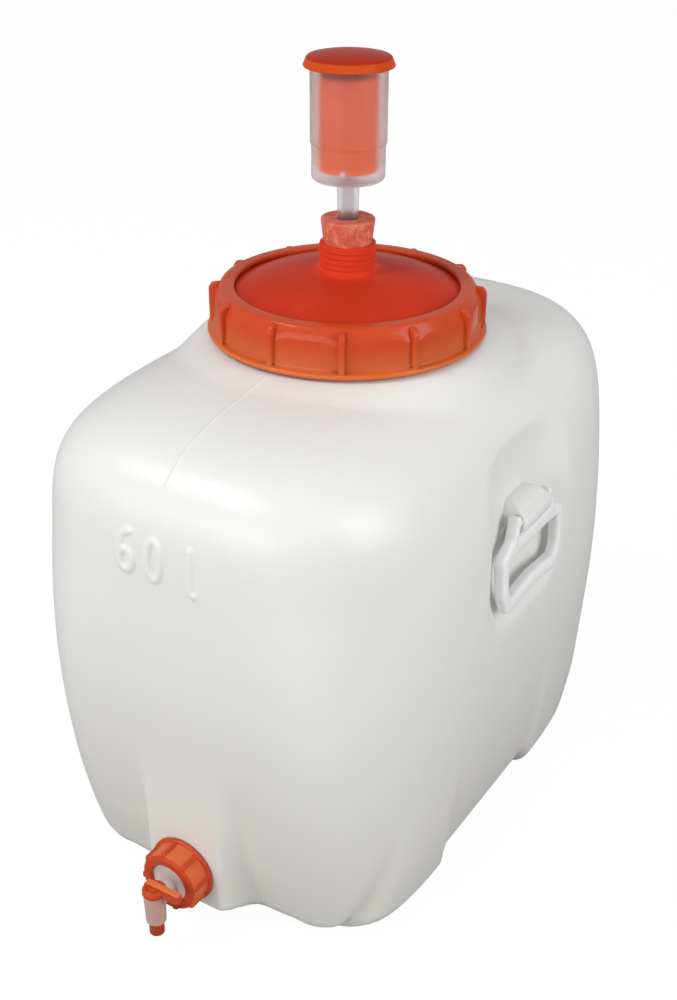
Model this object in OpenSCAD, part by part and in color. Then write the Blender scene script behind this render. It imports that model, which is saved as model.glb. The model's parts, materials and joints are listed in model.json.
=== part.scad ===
// Fermentation vessel: a blow-moulded tank with a screw lid, a bung with an airlock,
// two swinging handles and a drain tap. Millimetres, +Z up, floor at z = 0.
// The front, with the tap, faces -Y. The vessel's own axis stands at y = tank_y, so that
// the origin is the middle of the outer box, tap and handles included.

/* [Tank] */
// Half of the tank's width at its widest level
tank_half_w = 170.5; // [155:0.5:185]
// Half of the tank's depth, front to back, at its widest level
tank_half_d = 251.5; // [235:0.5:270]
// Height of the widest level above the floor
belly_z = 287; // [270:1:300]
// Height of the crown, where the neck begins
crown_z = 429; // [415:1:450]
// Half of the base's width
base_half_w = 146; // [135:0.5:155]
// Half of the base's depth
base_half_d = 207; // [195:0.5:215]
// Radius of the bottom edge
base_edge_r = 14; // [8:0.5:20]
// Thickness of the tank's wall
wall = 3; // [2.5:0.1:4]
// How far the underside is raised between the feet
arch_h = 8; // [4:0.5:12]
// Height of the round collar under the lid above the crown
collar_h = 3; // [2:0.5:4]
// How far the foot pads stand out of the long sides
foot_out = 4; // [2:0.5:6]
// Distance from the middle of a long side to a foot pad
foot_from = 62; // [50:1:80]
// Height at which the foot pads have run into the wall
foot_top = 150; // [120:1:180]

/* [Tap boss] */
// How far the boss's flat face stands out of the base
boss_out = 34; // [30:0.5:38]
// Half of the boss's width
boss_half_w = 37; // [34:0.5:42]
// Height of the tap's axis above the floor
tap_z = 56.5; // [50:0.5:64]
// Height of the boss's lower edge
boss_low = 20; // [14:0.5:26]
// Height at which the boss has run into the wall
boss_top = 160; // [140:1:180]

/* [Neck and thread] */
// Height of the neck's rim above the crown
neck_h = 31; // [28:0.5:36]
// Outer radius of the neck between its threads
neck_r = 94.5; // [92:0.1:98]
// Thickness of the neck's wall
neck_wall = 6.5; // [4:0.1:8]
// Height of the lid thread's ridge
thread_h = 3.6; // [3:0.1:4]
// Rise of the lid thread in one turn
thread_pitch = 10; // [8:0.5:12]
// Free gap from a ridge's tip to the facing wall
thread_gap = 1.7; // [1:0.1:2.5]

/* [Lid ring] */
// Radius of the ring's bottom flange
ring_flange_r = 110; // [108:0.5:115]
// Thickness of the ring's wall
ring_wall = 3.6; // [3:0.1:5]
// Radius of the opening in the ring's top lip
ring_open_r = 88.2; // [84:0.1:89]
// Thickness of the top lip
ring_lip = 3.8; // [3:0.1:5]
// Width of one grip rib
ring_rib_w = 6.5; // [4:0.1:9]
// Number of grip ribs
ring_ribs = 12; // [8:1:18]
// Overlap of the ring's flange below the neck's rim
ring_drop = 25.5; // [23:0.5:26]

/* [Lid plate] */
// Thickness of the lid plate
plate_t = 3.5; // [3:0.1:5]
// Thickness of the sealing ring below the plate's rim
seal_t = 3; // [2:0.1:4]
// Height of the plate's dome over its rim
dome_h = 16; // [10:0.5:20]
// Root radius of the spout
spout_r = 21.7; // [20.5:0.1:23]
// Height of the spout over the dome
spout_h = 21; // [18:0.5:26]
// Radius of the spout's bore
spout_bore_r = 18.7; // [17:0.1:19]
// Rise of the spout's thread in one turn
spout_pitch = 4.3; // [3.5:0.1:5]

/* [Bung] */
// Radius of the bung's top
bung_top_r = 21; // [20:0.1:22]
// Radius of the bung where it meets the spout's rim
bung_seat_r = 18.6; // [17:0.1:18.8]
// Length of the bung above the spout
bung_out = 18.5; // [14:0.5:24]
// Length of the bung inside the spout
bung_in = 21; // [16:0.5:24]
// Radius of the hole for the airlock's stem
bung_bore_r = 8; // [7:0.1:9]

/* [Airlock] */
// Outer radius of the cup at its mouth
cup_r = 28.8; // [27:0.1:31]
// Height of the cup
cup_h = 84; // [76:0.5:92]
// Height of the step in the cup's wall over its floor
cup_step = 27; // [20:0.5:34]
// Thickness of the cup's wall
cup_wall = 1.8; // [1.4:0.1:2.2]
// Length of the stem between the cup and the bung
stem_out = 30; // [24:0.5:36]
// Radius of the gas passage
gas_r = 4.5; // [3.5:0.1:5.5]
// Outer radius of the bell's rim
bell_r = 22.5; // [20:0.1:24]
// Height of the bell
bell_h = 69; // [60:0.5:74]
// Radius of the cap's brim
cap_r = 33.8; // [32:0.1:37]
// Height of the cap's dome over its brim
cap_h = 10.5; // [8:0.5:14]

/* [Handles] */
// Half of a handle's greatest width
handle_half_w = 55; // [52:0.5:58]
// Distance from a handle's hinge to its lower edge
handle_drop = 72; // [68:0.5:75]
// Thickness of a handle, out from the tank
handle_t = 10; // [8:0.5:11]
// Height of the grip bar
grip_h = 13; // [10:0.5:16]
// Height of the hinge above the floor
hinge_z = 318; // [314:0.5:321]
// Depth of the hinge behind the tank's widest line
hinge_in = 2.5; // [0:0.5:3.5]
// Radius of the hinge bar
hinge_r = 5; // [4:0.1:5.5]
// Half of the width of the lug that holds the hinge bar
lug_half_w = 23; // [18:0.5:24]
// Depth of the recess behind a handle
recess_depth = 14; // [12:0.5:16]

/* [Tap] */
// Radius of the flange at the back of the nut
nut_flange_r = 28.7; // [27:0.1:31]
// Length of the nut
nut_l = 21.5; // [19:0.5:24]
// Radius of the window in the nut's front
nut_window_r = 16.4; // [14:0.1:18]
// Number of grip ribs on the nut
nut_ribs = 8; // [6:1:12]
// Outer radius of the threaded stub on the boss
stub_r = 20.6; // [19:0.1:21]
// Rise of the stub's thread in one turn
stub_pitch = 4; // [3:0.1:4.5]
// Distance from the boss's face to the spout's axis
spout_reach = 37.5; // [35:0.5:42]
// Outer radius of the tap's sleeve
sleeve_r = 8.9; // [8.5:0.1:10]
// Outer radius of the turning plug
plug_r = 6.5; // [6:0.1:7]
// Height of the outlet above the floor
outlet_z = 20; // [14:0.5:24]
// Length of the wing lever from the plug's axis
wing_l = 25; // [20:0.5:30]

/* [Clearances] */
// Gap between pieces that move past each other
gap = 0.3; // [0.2:0.05:0.5]
// Radial gap of a running fit
fit = 0.08; // [0.05:0.01:0.1]

/* [Hidden] */
$fn = 96;
eps = 0.01;

// The tap's front decides how far the vessel's axis stands behind the origin
hub_r = sleeve_r + 0.6;
boss_reach = base_half_d + boss_out;
tap_reach = boss_reach + spout_reach + hub_r;
tank_y = (tap_reach - tank_half_d) / 2;

// The hinge and the lug stand in a recess of the tank's side
hinge_x = tank_half_w - hinge_in;
recess_x = tank_half_w - recess_depth;

// Levels of the lid, from the neck's rim up
rim_z = crown_z + neck_h;
plate_z = rim_z + seal_t;
lip_z = plate_z + plate_t + gap;
dome_z = plate_z + plate_t + dome_h;
spout_top = dome_z + spout_h;
crest_r = neck_r + thread_h;
ring_in_r = crest_r + thread_gap;
ring_out_r = ring_in_r + ring_wall;
flange_z = rim_z - ring_drop;
ring_crest_r = ring_in_r - thread_h;
// Axial widths of a ridge at its root and at its tip, as shares of the pitch
ridge_root = 0.38;
ridge_tip = 0.2;

// Levels of the airlock
bung_top = spout_top + bung_out;
bung_low = spout_top - bung_in;
cup_z = bung_top + stem_out;
cup_floor = 2.4;
cup_low_r = cup_r - 1;
cup_top = cup_z + cup_h;
bell_z = cup_z + cup_floor + 4.8;
bell_wall = 1.6;
chimney_top = bell_z + bell_h - bell_wall - gap;
chimney_r = gas_r + 2.4;
stem_r = bung_bore_r - fit;

// Levels of the tap, measured out from the boss's face
seal_l = 1.5;
nut_front = nut_l;
nut_lip = 2.8;
body_flange_t = 4;
body_front = nut_front - nut_lip - gap;
stub_l = body_front - body_flange_t - seal_l;
stub_h = 1.8;
stub_gap = 0.6;
stub_bore_r = 13;
nut_in_r = stub_r + stub_h + stub_gap;
nut_out_r = nut_in_r + 2;
rib_out_r = nut_out_r + 2.3;
nut_back = 0.6;
barrel_r = 7;
barrel_z = tap_z - 5.5;
sleeve_top = barrel_z + barrel_r + 2;
sleeve_low = outlet_z + 13;
plug_bore_r = plug_r - 2.5;
wing_top = sleeve_top + gap + 10;
wing_t = 5;

// Columns of the tank's skin: angles from the long side to the front, closer at the feet and the boss
QUARTER = [0, 8, 13.5, 20, 29, 39, 49, 59, 68, 74.5, 78.5, 84];
COLUMNS = [for (q = [0:3]) for (i = [0:len(QUARTER) - 1]) q % 2 == 0
    ? 90 * q + QUARTER[i] : 90 * q + (i == 0 ? 0 : 90 - QUARTER[len(QUARTER) - i])];

// Smooth step from 0 at a to 1 at b
function ease(t, a, b) = let (s = max(0, min(1, (t - a) / (b - a)))) s * s * (3 - 2 * s);
function sgn_pow(v, e) = pow(abs(v), e);

// Half width, half depth and corner sharpness of the tank at height z
function half_w(z) = z < belly_z
    ? tank_half_w - (tank_half_w - base_half_w) * pow((belly_z - z) / belly_z, 2.4)
    : tank_half_w * pow(1 - pow((z - belly_z) / (crown_z - belly_z), 3.07), 1 / 3.07);
function half_d(z) = z < belly_z
    ? tank_half_d - (tank_half_d - base_half_d) * pow((belly_z - z) / belly_z, 1.92)
    : tank_half_d * pow(1 - pow((z - belly_z) / (crown_z - belly_z), 4.28), 1 / 4.28);
function sharp(z) = lookup(z, [[0, 5.65], [belly_z / 2, 4.4], [belly_z * 1.2, 3.17], [crown_z, 4.07]]);

// Recess behind the handles, foot pads, raised underside and tap boss
recess_z = hinge_z - 14;
recess_half_h = handle_drop + 4;
recess_half_w = handle_half_w + 13;
foot_to = base_half_d - 27;
foot_edge = 6;
function recess(y, z) = let (s = pow(y / recess_half_w, 4) + pow((z - recess_z) / recess_half_h, 4))
    s < 1 ? recess_depth * (1 - s) : 0;
function foot(x, y, z) = foot_out * ease(abs(y), foot_from - foot_edge, foot_from + foot_edge)
    * (1 - ease(abs(y), foot_to - 15, foot_to + 15)) * (1 - ease(z, foot_top / 3, foot_top))
    * ease(abs(x), 0.4 * base_half_w, 0.75 * base_half_w);
collar_z = crown_z + collar_h;
collar_r = neck_r + 9.5;
collar_fade = 36;
function collar(x, y, z, t) = max(0, collar_z - t - z)
    * (1 - ease(norm([x, y]), collar_r, collar_r + collar_fade));
foot_w = 58;
arch_top = 70;
function arch(x, y, z) = arch_h * (1 - ease(z, arch_top / 7, arch_top))
    * (1 - ease(abs(y), foot_from - foot_edge, foot_from + foot_edge)
        * ease(abs(x), base_half_w - foot_w - 10, base_half_w - foot_w + 10));
function boss(x, z) = (1 - ease(abs(x), boss_half_w - 4, boss_half_w + 5))
    * ease(z, boss_low - 12, boss_low + 2) * (1 - ease(z, boss_top - 10, boss_top + 10));

// One point of the skin, t inwards of the outside, for a level z and an inset of the section
function skin(u, z, inset, t) =
    let (n = sharp(z), c = cos(u), s = sin(u), k = pow(sgn_pow(c, n) + sgn_pow(s, n), -1 / n),
         x0 = (half_w(z) - inset - t) * k * c, y0 = (half_d(z) - inset - t) * k * s,
         side = ease(abs(x0), 0.4 * tank_half_w, 0.7 * tank_half_w) * sign(x0),
         x1 = x0 + side * (foot(x0, y0, z) - recess(y0, z)),
         out = y0 < 0 ? (boss_reach - t + y0) * boss(x1, z) : 0,
         y1 = y0 - out)
    [x1, y1, z + arch(x1, y1, z)];

// Levels of the skin as pairs of height and inset, from the bottom edge up to the crown
body_rows = 11;
crown_rows = 5;
base_rows = 2;
body_low = 2 * base_edge_r;
body_high = belly_z + 0.6 * (crown_z - belly_z);
LEVELS = concat(
    [for (q = [0:45:90]) [base_edge_r * (1 - cos(q)), base_edge_r * (1 - sin(q))]],
    [for (i = [0:body_rows]) [body_low + (body_high - body_low) * i / body_rows, 0]],
    [for (i = [1:crown_rows]) let (s = 1 - i / (crown_rows + 0.6))
        [body_high + (crown_z - body_high) * (1 - s * s), 0]]);

module tank_skin(t) {
    n = len(COLUMNS);
    rows = base_rows + len(LEVELS);
    points = concat(
        [for (i = [1:base_rows]) for (u = COLUMNS) let (p = skin(u, 0, base_edge_r, t), f = i / (base_rows + 0.4))
            [p[0] * f, p[1] * f, t + arch(p[0] * f, p[1] * f, 0)]],
        [for (v = LEVELS) for (u = COLUMNS) let (p = skin(u, v[0], v[1], t),
            z = p[2] + t * (1 - ease(v[0], 0, 40) - ease(v[0], body_high, crown_z - 6)))
            [p[0], p[1], z + (v[0] > body_high ? collar(p[0], p[1], z, t) : 0)]],
        [[0, 0, t + arch_h], [0, 0, collar_z - t]]);
    low = n * rows;
    faces = concat(
        [for (i = [0:rows - 2]) for (j = [0:n - 1]) let (k = (j + 1) % n)
            [i * n + j, (i + 1) * n + j, (i + 1) * n + k]],
        [for (i = [0:rows - 2]) for (j = [0:n - 1]) let (k = (j + 1) % n)
            [i * n + j, (i + 1) * n + k, i * n + k]],
        [for (j = [0:n - 1]) [low, j, (j + 1) % n]],
        [for (j = [0:n - 1]) [low + 1, low - n + (j + 1) % n, low - n + j]]);
    polyhedron(points, faces, convexity = 6);
}

// Helical ridge that climbs anticlockwise; root and tip are radii, tip inside root for a nut
module ridge(root, tip, pitch, turns, z0, steps = 36) {
    w0 = pitch * ridge_root / 2;
    w1 = pitch * ridge_tip / 2;
    count = round(steps * turns);
    bite = root < tip ? -0.6 : 0.6;
    sect = [[root + bite, -w0], [tip, -w1], [tip, w1], [root + bite, w0]];
    order = root < tip ? [3, 2, 1, 0] : [0, 1, 2, 3];
    pts = [for (i = [0:count]) for (k = order) let (a = i * 360 / steps, z = z0 + pitch * i / steps)
        [sect[k][0] * cos(a), sect[k][0] * sin(a), z + sect[k][1]]];
    faces = concat(
        [[0, 1, 2], [0, 2, 3]],
        [for (i = [0:count - 1]) for (k = [0:3]) [4 * i + k, 4 * i + 4 + k, 4 * i + (k + 1) % 4]],
        [for (i = [0:count - 1]) for (k = [0:3]) [4 * i + (k + 1) % 4, 4 * i + 4 + k, 4 * i + 4 + (k + 1) % 4]],
        [[4 * count, 4 * count + 2, 4 * count + 1], [4 * count, 4 * count + 3, 4 * count + 2]]);
    polyhedron(pts, faces, convexity = 10);
}

// Moves a piece to the vessel's axis
module on_axis() { translate([0, tank_y, 0]) children(); }
// Moves a piece to the tap's axis, with z pointing out of the boss
module on_boss() { translate([0, tank_y - boss_reach, tap_z]) rotate([90, 0, 0]) children(); }
// Moves a piece to the tap's upright spout axis
module on_spout() { translate([0, tank_y - boss_reach - spout_reach, 0]) children(); }
// Ring with a rectangular section
module tube(r_out, r_in, z0, z1) {
    rotate_extrude() translate([r_in, z0]) square([r_out - r_in, z1 - z0]);
}

lid_turns = 1.5;
lid_thread_z = flange_z + 8;
stub_turns = 1.5;
stub_thread_z = 4.5;

// Block on the recess's floor that holds a handle: a flat-topped upper part and a nose round the bar
lug_wall = 3.4;
lug_h = 24;
lug_lean = 18;
module lug_block() {
    nose = hinge_x + hinge_r + lug_wall;
    shelf = hinge_x + 2;
    low = hinge_z - hinge_r - lug_wall;
    top = hinge_z + lug_h;
    difference() {
        translate([0, lug_half_w, 0]) rotate([90, 0, 0]) linear_extrude(2 * lug_half_w) polygon([
            [recess_x, low], [nose - 3, low], [nose, low + 3], [nose, hinge_z + 3], [nose - 3, hinge_z + 9],
            [shelf, hinge_z + 13], [shelf, top - 8], [shelf - 5, top], [recess_x, top + 2]]);
        for (m = [0, 1]) mirror([0, m, 0]) translate([recess_x - 1, lug_half_w, hinge_z + lug_h / 2])
            rotate([-lug_lean, 0, 0]) cube([recess_depth + 20, lug_half_w, 2 * lug_h]);
    }
}
module lug() {
    difference() {
        lug_block();
        translate([hinge_x, lug_half_w + 1, hinge_z]) rotate([90, 0, 0])
            cylinder(r = hinge_r + gap, h = 2 * lug_half_w + 2);
    }
}
module lug_right() { color([0.9, 0.9, 0.88]) on_axis() lug(); }
module lug_left() { color([0.9, 0.9, 0.88]) on_axis() mirror([1, 0, 0]) lug(); }

// The shell has a hole for the neck, one for the stub and a seat for each lug
module tank() {
    color([0.9, 0.9, 0.88]) on_axis() difference() {
        tank_skin(0);
        tank_skin(wall);
        translate([0, 0, crown_z - 40]) cylinder(r = neck_r, h = 60);
        lug_block();
        mirror([1, 0, 0]) lug_block();
        translate([0, wall + 1 - boss_reach, tap_z]) rotate([90, 0, 0]) cylinder(r = stub_bore_r, h = 2 * wall);
    }
}

module neck() {
    color([0.9, 0.9, 0.88]) on_axis() {
        tube(neck_r, neck_r - neck_wall, crown_z - 2, rim_z);
        ridge(neck_r, crest_r, thread_pitch, lid_turns, lid_thread_z);
    }
}

module stub() {
    color([0.9, 0.9, 0.88]) on_boss() {
        tube(stub_r, stub_bore_r, 0, stub_l);
        ridge(stub_r, stub_r + stub_h, stub_pitch, stub_turns, stub_thread_z, 30);
    }
}

// Loop of a handle in its own plane: x across, y up from the hinge.
// Two eyes hold the hinge bar, a band joins them below the lug's nose, and the grip bar is bowed up.
handle_arm = 10.5;
handle_band = 13.5;
handle_bow = 4;
band_gap = 2.1;
module handle_outline() {
    low = -handle_drop;
    corner_w = handle_half_w - 7;
    inner_w = handle_half_w - handle_arm;
    eye_in = lug_half_w + 2;
    eye_out = lug_half_w + 8;
    band_top = -hinge_r - lug_wall - band_gap;
    band_low = band_top - handle_band;
    shoulder = band_top - 10;
    difference() {
        polygon(concat(
            [[eye_out - 3, hinge_r + 1.5], [eye_out, hinge_r - 1], [eye_out + 5, -hinge_r - 3],
             [handle_half_w - 2, shoulder + 2], [handle_half_w, shoulder - 2],
             [handle_half_w, low + 20], [corner_w, low + 3], [corner_w - 3, low]],
            [for (x = [corner_w - 8:-8:8 - corner_w]) [x, low + handle_bow * pow(cos(90 * x / corner_w), 2)]],
            [[3 - corner_w, low], [-corner_w, low + 3], [-handle_half_w, low + 20],
             [-handle_half_w, shoulder - 2], [2 - handle_half_w, shoulder + 2],
             [-eye_out - 5, -hinge_r - 3], [-eye_out, hinge_r - 1], [3 - eye_out, hinge_r + 1.5]]));
        translate([-eye_in, band_top]) square([2 * eye_in, hinge_r + 2 - band_top]);
        polygon(concat(
            [[inner_w - 5, band_low], [inner_w, band_low - 5], [inner_w, low + 22]],
            [for (x = [corner_w - 9:-6:9 - corner_w])
                [x, low + grip_h + handle_bow * pow(cos(90 * x / corner_w), 2)]],
            [[-inner_w, low + 22], [-inner_w, band_low - 5], [5 - inner_w, band_low]]));
    }
}

// A handle on the right-hand side; the lean lets its grip stand clear of the wall
handle_lean = 3;
module handle() {
    translate([hinge_x, 0, hinge_z]) {
        rotate([0, -handle_lean, 0]) rotate([90, 0, 90]) translate([0, 0, -handle_t / 2])
            linear_extrude(handle_t) handle_outline();
        translate([0, lug_half_w + 4, 0]) rotate([90, 0, 0]) cylinder(r = hinge_r, h = 2 * lug_half_w + 8);
    }
}
module handle_right() { color([0.93, 0.93, 0.92]) on_axis() handle(); }
module handle_left() { color([0.93, 0.93, 0.92]) on_axis() mirror([1, 0, 0]) handle(); }

// Dome of the lid plate: height over the rim at radius r
dome_r = ring_open_r - 1;
function dome(r) = dome_h * (1 - pow(r / dome_r, 2.6));

module lid_plate() {
    rim_r = ring_in_r - 1;
    steps = 12;
    color([0.8, 0.2, 0.12]) on_axis() {
        difference() {
            union() {
                rotate_extrude() polygon(concat(
                    [[rim_r, plate_z], [rim_r, plate_z + plate_t]],
                    [for (i = [0:steps]) let (r = dome_r - i * (dome_r - spout_bore_r) / steps)
                        [r, plate_z + plate_t + dome(r)]],
                    [for (i = [0:steps]) let (r = spout_bore_r + i * (dome_r - spout_bore_r) / steps)
                        [r, plate_z + dome(r)]]));
                tube(spout_r, spout_bore_r, plate_z + dome(spout_r), spout_top);
                tube(spout_r + 1.2, spout_bore_r, dome_z - 2, dome_z + 1.6);
                ridge(spout_r, spout_r + 1.1, spout_pitch, 3.7, dome_z + 3.4, 30);
            }
            translate([0, 0, plate_z]) cylinder(r = spout_bore_r, h = dome_h + spout_h + 20);
        }
    }
}

module lid_seal() {
    color([0.85, 0.85, 0.83]) on_axis() tube(neck_r + 0.5, neck_r - neck_wall, rim_z + 0.02, plate_z - 0.02);
}

module lid_ring() {
    lip_top = lip_z + ring_lip;
    edge = 3;
    rib_r = ring_flange_r - 1;
    rib_turn = 28.2;
    color([0.88, 0.3, 0.08]) on_axis() {
        rotate_extrude() polygon([
            [ring_in_r, flange_z], [ring_flange_r, flange_z], [ring_flange_r, flange_z + 3],
            [ring_out_r + 1, flange_z + 4.2], [ring_out_r + 1, flange_z + 6], [ring_out_r, flange_z + 6.6],
            [ring_out_r, lip_top - 3 * edge], [ring_out_r - 1.2, lip_top - 2 * edge],
            [ring_out_r - 1.8, lip_top - 1.6 * edge], [ring_out_r - 4, lip_top - 0.4 * edge],
            [ring_out_r - 6, lip_top], [ring_open_r + 0.8, lip_top], [ring_open_r, lip_top - 0.8],
            [ring_open_r, lip_z], [ring_in_r, lip_z]]);
        for (i = [0:ring_ribs - 1]) rotate(i * 360 / ring_ribs + rib_turn)
            translate([0, -ring_rib_w / 2, 0]) rotate([90, 0, 0]) translate([0, 0, -ring_rib_w])
                linear_extrude(ring_rib_w) polygon([
                    [ring_out_r - 1.5, flange_z + 1], [rib_r, flange_z + 1], [rib_r, lip_top - 7],
                    [rib_r - 1, lip_top - 4.5], [rib_r - 3, lip_top - 3.4], [ring_out_r - 2.5, lip_top - 3.2]]);
        ridge(ring_in_r, ring_crest_r, thread_pitch, lid_turns, lid_thread_z - thread_pitch / 2);
    }
}

module bung() {
    slope = (bung_top_r - bung_seat_r) / bung_out;
    color([0.85, 0.42, 0.34]) on_axis() difference() {
        translate([0, 0, bung_low])
            cylinder(r1 = bung_seat_r - slope * bung_in, r2 = bung_top_r, h = bung_in + bung_out);
        translate([0, 0, bung_low - 1]) cylinder(r = bung_bore_r, h = bung_in + bung_out + 2);
    }
}

module airlock_cup() {
    stem_low = bung_low - 5;
    color([0.86, 0.86, 0.88, 0.5]) on_axis() difference() {
        union() {
            translate([0, 0, stem_low]) cylinder(r = stem_r, h = cup_z - stem_low + 1);
            translate([0, 0, bung_top + 1]) cylinder(r1 = stem_r + 0.05, r2 = stem_r + 0.9, h = stem_out);
            difference() {
                union() {
                    translate([0, 0, cup_z]) cylinder(r1 = cup_low_r - 1.5, r2 = cup_low_r, h = 2.5);
                    translate([0, 0, cup_z + 2.5]) cylinder(r = cup_low_r, h = cup_step - 2.5);
                    translate([0, 0, cup_z + cup_step]) cylinder(r = cup_r, h = cup_h - cup_step);
                }
                translate([0, 0, cup_z + cup_floor]) cylinder(r = cup_low_r - cup_wall, h = cup_h);
            }
            translate([0, 0, cup_z]) cylinder(r = chimney_r, h = chimney_top - cup_z);
        }
        translate([0, 0, stem_low - 1]) cylinder(r = gas_r, h = chimney_top - stem_low + 2);
    }
}

module airlock_bell() {
    top_r = bell_r - 2;
    color([0.88, 0.32, 0.14]) on_axis() difference() {
        translate([0, 0, bell_z]) cylinder(r1 = bell_r, r2 = top_r, h = bell_h);
        translate([0, 0, bell_z - eps])
            cylinder(r1 = bell_r - bell_wall, r2 = top_r - bell_wall, h = bell_h - bell_wall + eps);
        for (a = [0, 180]) rotate(a - 70) translate([bell_r - 5, -2.5, bell_z - 1]) cube([8, 5, 5]);
    }
}

module airlock_cap() {
    brim_z = cup_top - 1.6;
    seat_z = cup_top + gap;
    skirt_in = cup_r + 0.6;
    cap_lip = 1.5;
    color([0.86, 0.26, 0.08]) on_axis() rotate_extrude() polygon([
        [0, seat_z], [cup_low_r - cup_wall - 2.2, seat_z], [cup_low_r - cup_wall - 2.2, seat_z - cap_lip],
        [cup_low_r - cup_wall - 0.4, seat_z - cap_lip], [cup_low_r - cup_wall - 0.4, seat_z],
        [skirt_in, seat_z], [skirt_in, brim_z], [cap_r, brim_z], [cap_r, brim_z + 1],
        [cap_r - 2.2, brim_z + 0.6 * cap_h], [cap_r - 3.2, brim_z + 0.69 * cap_h],
        [cap_r - 8, brim_z + 0.81 * cap_h], [cap_r - 15, brim_z + 0.91 * cap_h],
        [cap_r - 23, brim_z + 0.98 * cap_h], [0, brim_z + cap_h]]);
}

module tap_nut() {
    color([0.88, 0.3, 0.1]) on_boss() {
        rotate_extrude() polygon([
            [nut_in_r, nut_back], [nut_flange_r, nut_back], [nut_flange_r, nut_back + 2], [nut_flange_r - 1, nut_back + 3],
            [nut_out_r, nut_back + 3.6], [nut_out_r, nut_front - 1.5], [nut_out_r - 1.5, nut_front],
            [nut_window_r, nut_front], [nut_window_r, nut_front - nut_lip], [nut_in_r, nut_front - nut_lip]]);
        for (i = [0:nut_ribs - 1]) rotate(i * 360 / nut_ribs + 10)
            translate([0, -1.6, 0]) rotate([90, 0, 0]) translate([0, 0, -3.2]) linear_extrude(3.2) polygon([
                [nut_out_r - 1, nut_back + 1], [nut_flange_r - 1, nut_back + 1], [rib_out_r, nut_back + 4],
                [rib_out_r, nut_front - 1], [nut_out_r - 1.4, nut_front - 0.4]]);
        ridge(nut_in_r, nut_in_r - stub_h, stub_pitch, stub_turns, stub_thread_z + stub_pitch / 2, 30);
    }
}

module tap_seal() {
    color([0.2, 0.2, 0.2]) on_boss() tube(stub_r, stub_bore_r, stub_l + 0.02, stub_l + seal_l - 0.02);
}

module tap_body() {
    flange_l = stub_l + seal_l;
    color([0.88, 0.84, 0.84, 0.7]) difference() {
        union() {
            on_boss() {
                translate([0, 0, flange_l]) cylinder(r = stub_r + stub_h - 0.2, h = body_flange_t);
                translate([0, 0, 2]) cylinder(r = stub_bore_r - 0.4, h = flange_l);
                translate([0, barrel_z - tap_z, flange_l]) cylinder(r = barrel_r, h = spout_reach - flange_l);
            }
            on_spout() translate([0, 0, sleeve_low])
                cylinder(r1 = sleeve_r - 1, r2 = sleeve_r, h = sleeve_top - sleeve_low);
        }
        on_boss() translate([0, barrel_z - tap_z, 1]) cylinder(r = barrel_r - 3, h = spout_reach - 1);
        on_boss() translate([0, 0, 1]) cylinder(r = stub_bore_r - 3.4, h = flange_l - 1);
        on_spout() translate([0, 0, sleeve_low - 1]) cylinder(r = plug_r + fit, h = sleeve_top - sleeve_low + 2);
    }
}

groove_r = plug_r - 1.3;
groove_h = 1.5;
o_ring_z = [sleeve_low + 4, sleeve_top - 1.6];
module tap_plug() {
    hub_z = sleeve_top + gap;
    color([0.88, 0.28, 0.08]) on_spout() difference() {
        union() {
            difference() {
                translate([0, 0, sleeve_low - 1]) cylinder(r = plug_r, h = hub_z - sleeve_low + 2);
                for (z = o_ring_z) tube(plug_r + 1, groove_r, z - groove_h / 2, z + groove_h / 2);
            }
            translate([0, 0, outlet_z]) cylinder(r = plug_r - 0.5, h = sleeve_low - outlet_z);
            translate([0, 0, hub_z]) cylinder(r = hub_r, h = 4);
            translate([0, 0, hub_z + 4]) cylinder(r1 = hub_r, r2 = hub_r - 4, h = 3.5);
            translate([-hub_r + 1.5, -wing_t / 2, hub_z + 1]) cube([hub_r - 1.5 + wing_l, wing_t, wing_top - hub_z - 1]);
        }
        translate([0, 0, outlet_z - 1]) cylinder(r = plug_bore_r, h = barrel_z + 4 - outlet_z + 1);
        translate([0, 0, barrel_z]) rotate([0, -90, 0]) cylinder(r = plug_bore_r - 0.5, h = plug_r + 2);
    }
}
module o_ring(z) {
    color([0.15, 0.15, 0.15]) on_spout() translate([0, 0, z])
        rotate_extrude() translate([groove_r + 0.65, 0]) circle(r = 0.6, $fn = 24);
}
module tap_o_ring_upper() { o_ring(o_ring_z[1]); }
module tap_o_ring_lower() { o_ring(o_ring_z[0]); }

tank();
neck();
stub();
lug_right();
lug_left();
handle_right();
handle_left();
lid_plate();
lid_seal();
lid_ring();
bung();
airlock_cup();
airlock_bell();
airlock_cap();
tap_nut();
tap_seal();
tap_body();
tap_plug();
tap_o_ring_upper();
tap_o_ring_lower();
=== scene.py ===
import json
import math

import bmesh
import bpy
import numpy as np
from bpy.props import FloatProperty, FloatVectorProperty, IntProperty, PointerProperty
from mathutils import Matrix, Vector


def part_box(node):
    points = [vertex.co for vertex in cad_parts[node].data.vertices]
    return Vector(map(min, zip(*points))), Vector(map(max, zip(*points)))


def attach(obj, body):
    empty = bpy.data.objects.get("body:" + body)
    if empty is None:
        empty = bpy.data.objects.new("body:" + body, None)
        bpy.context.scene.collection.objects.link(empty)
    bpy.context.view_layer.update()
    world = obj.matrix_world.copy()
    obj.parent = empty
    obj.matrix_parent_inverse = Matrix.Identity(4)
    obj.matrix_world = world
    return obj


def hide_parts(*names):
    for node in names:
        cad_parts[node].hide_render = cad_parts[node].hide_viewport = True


bl_info = {
    "name": "Fermentation tank",
    "version": (1, 0, 0),
    "blender": (4, 5, 0),
    "location": "View3D > Sidebar > Tank",
    "description": "Builds a fermentation tank with its lid, airlock, handles and drain tap",
    "category": "Object",
}

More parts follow.
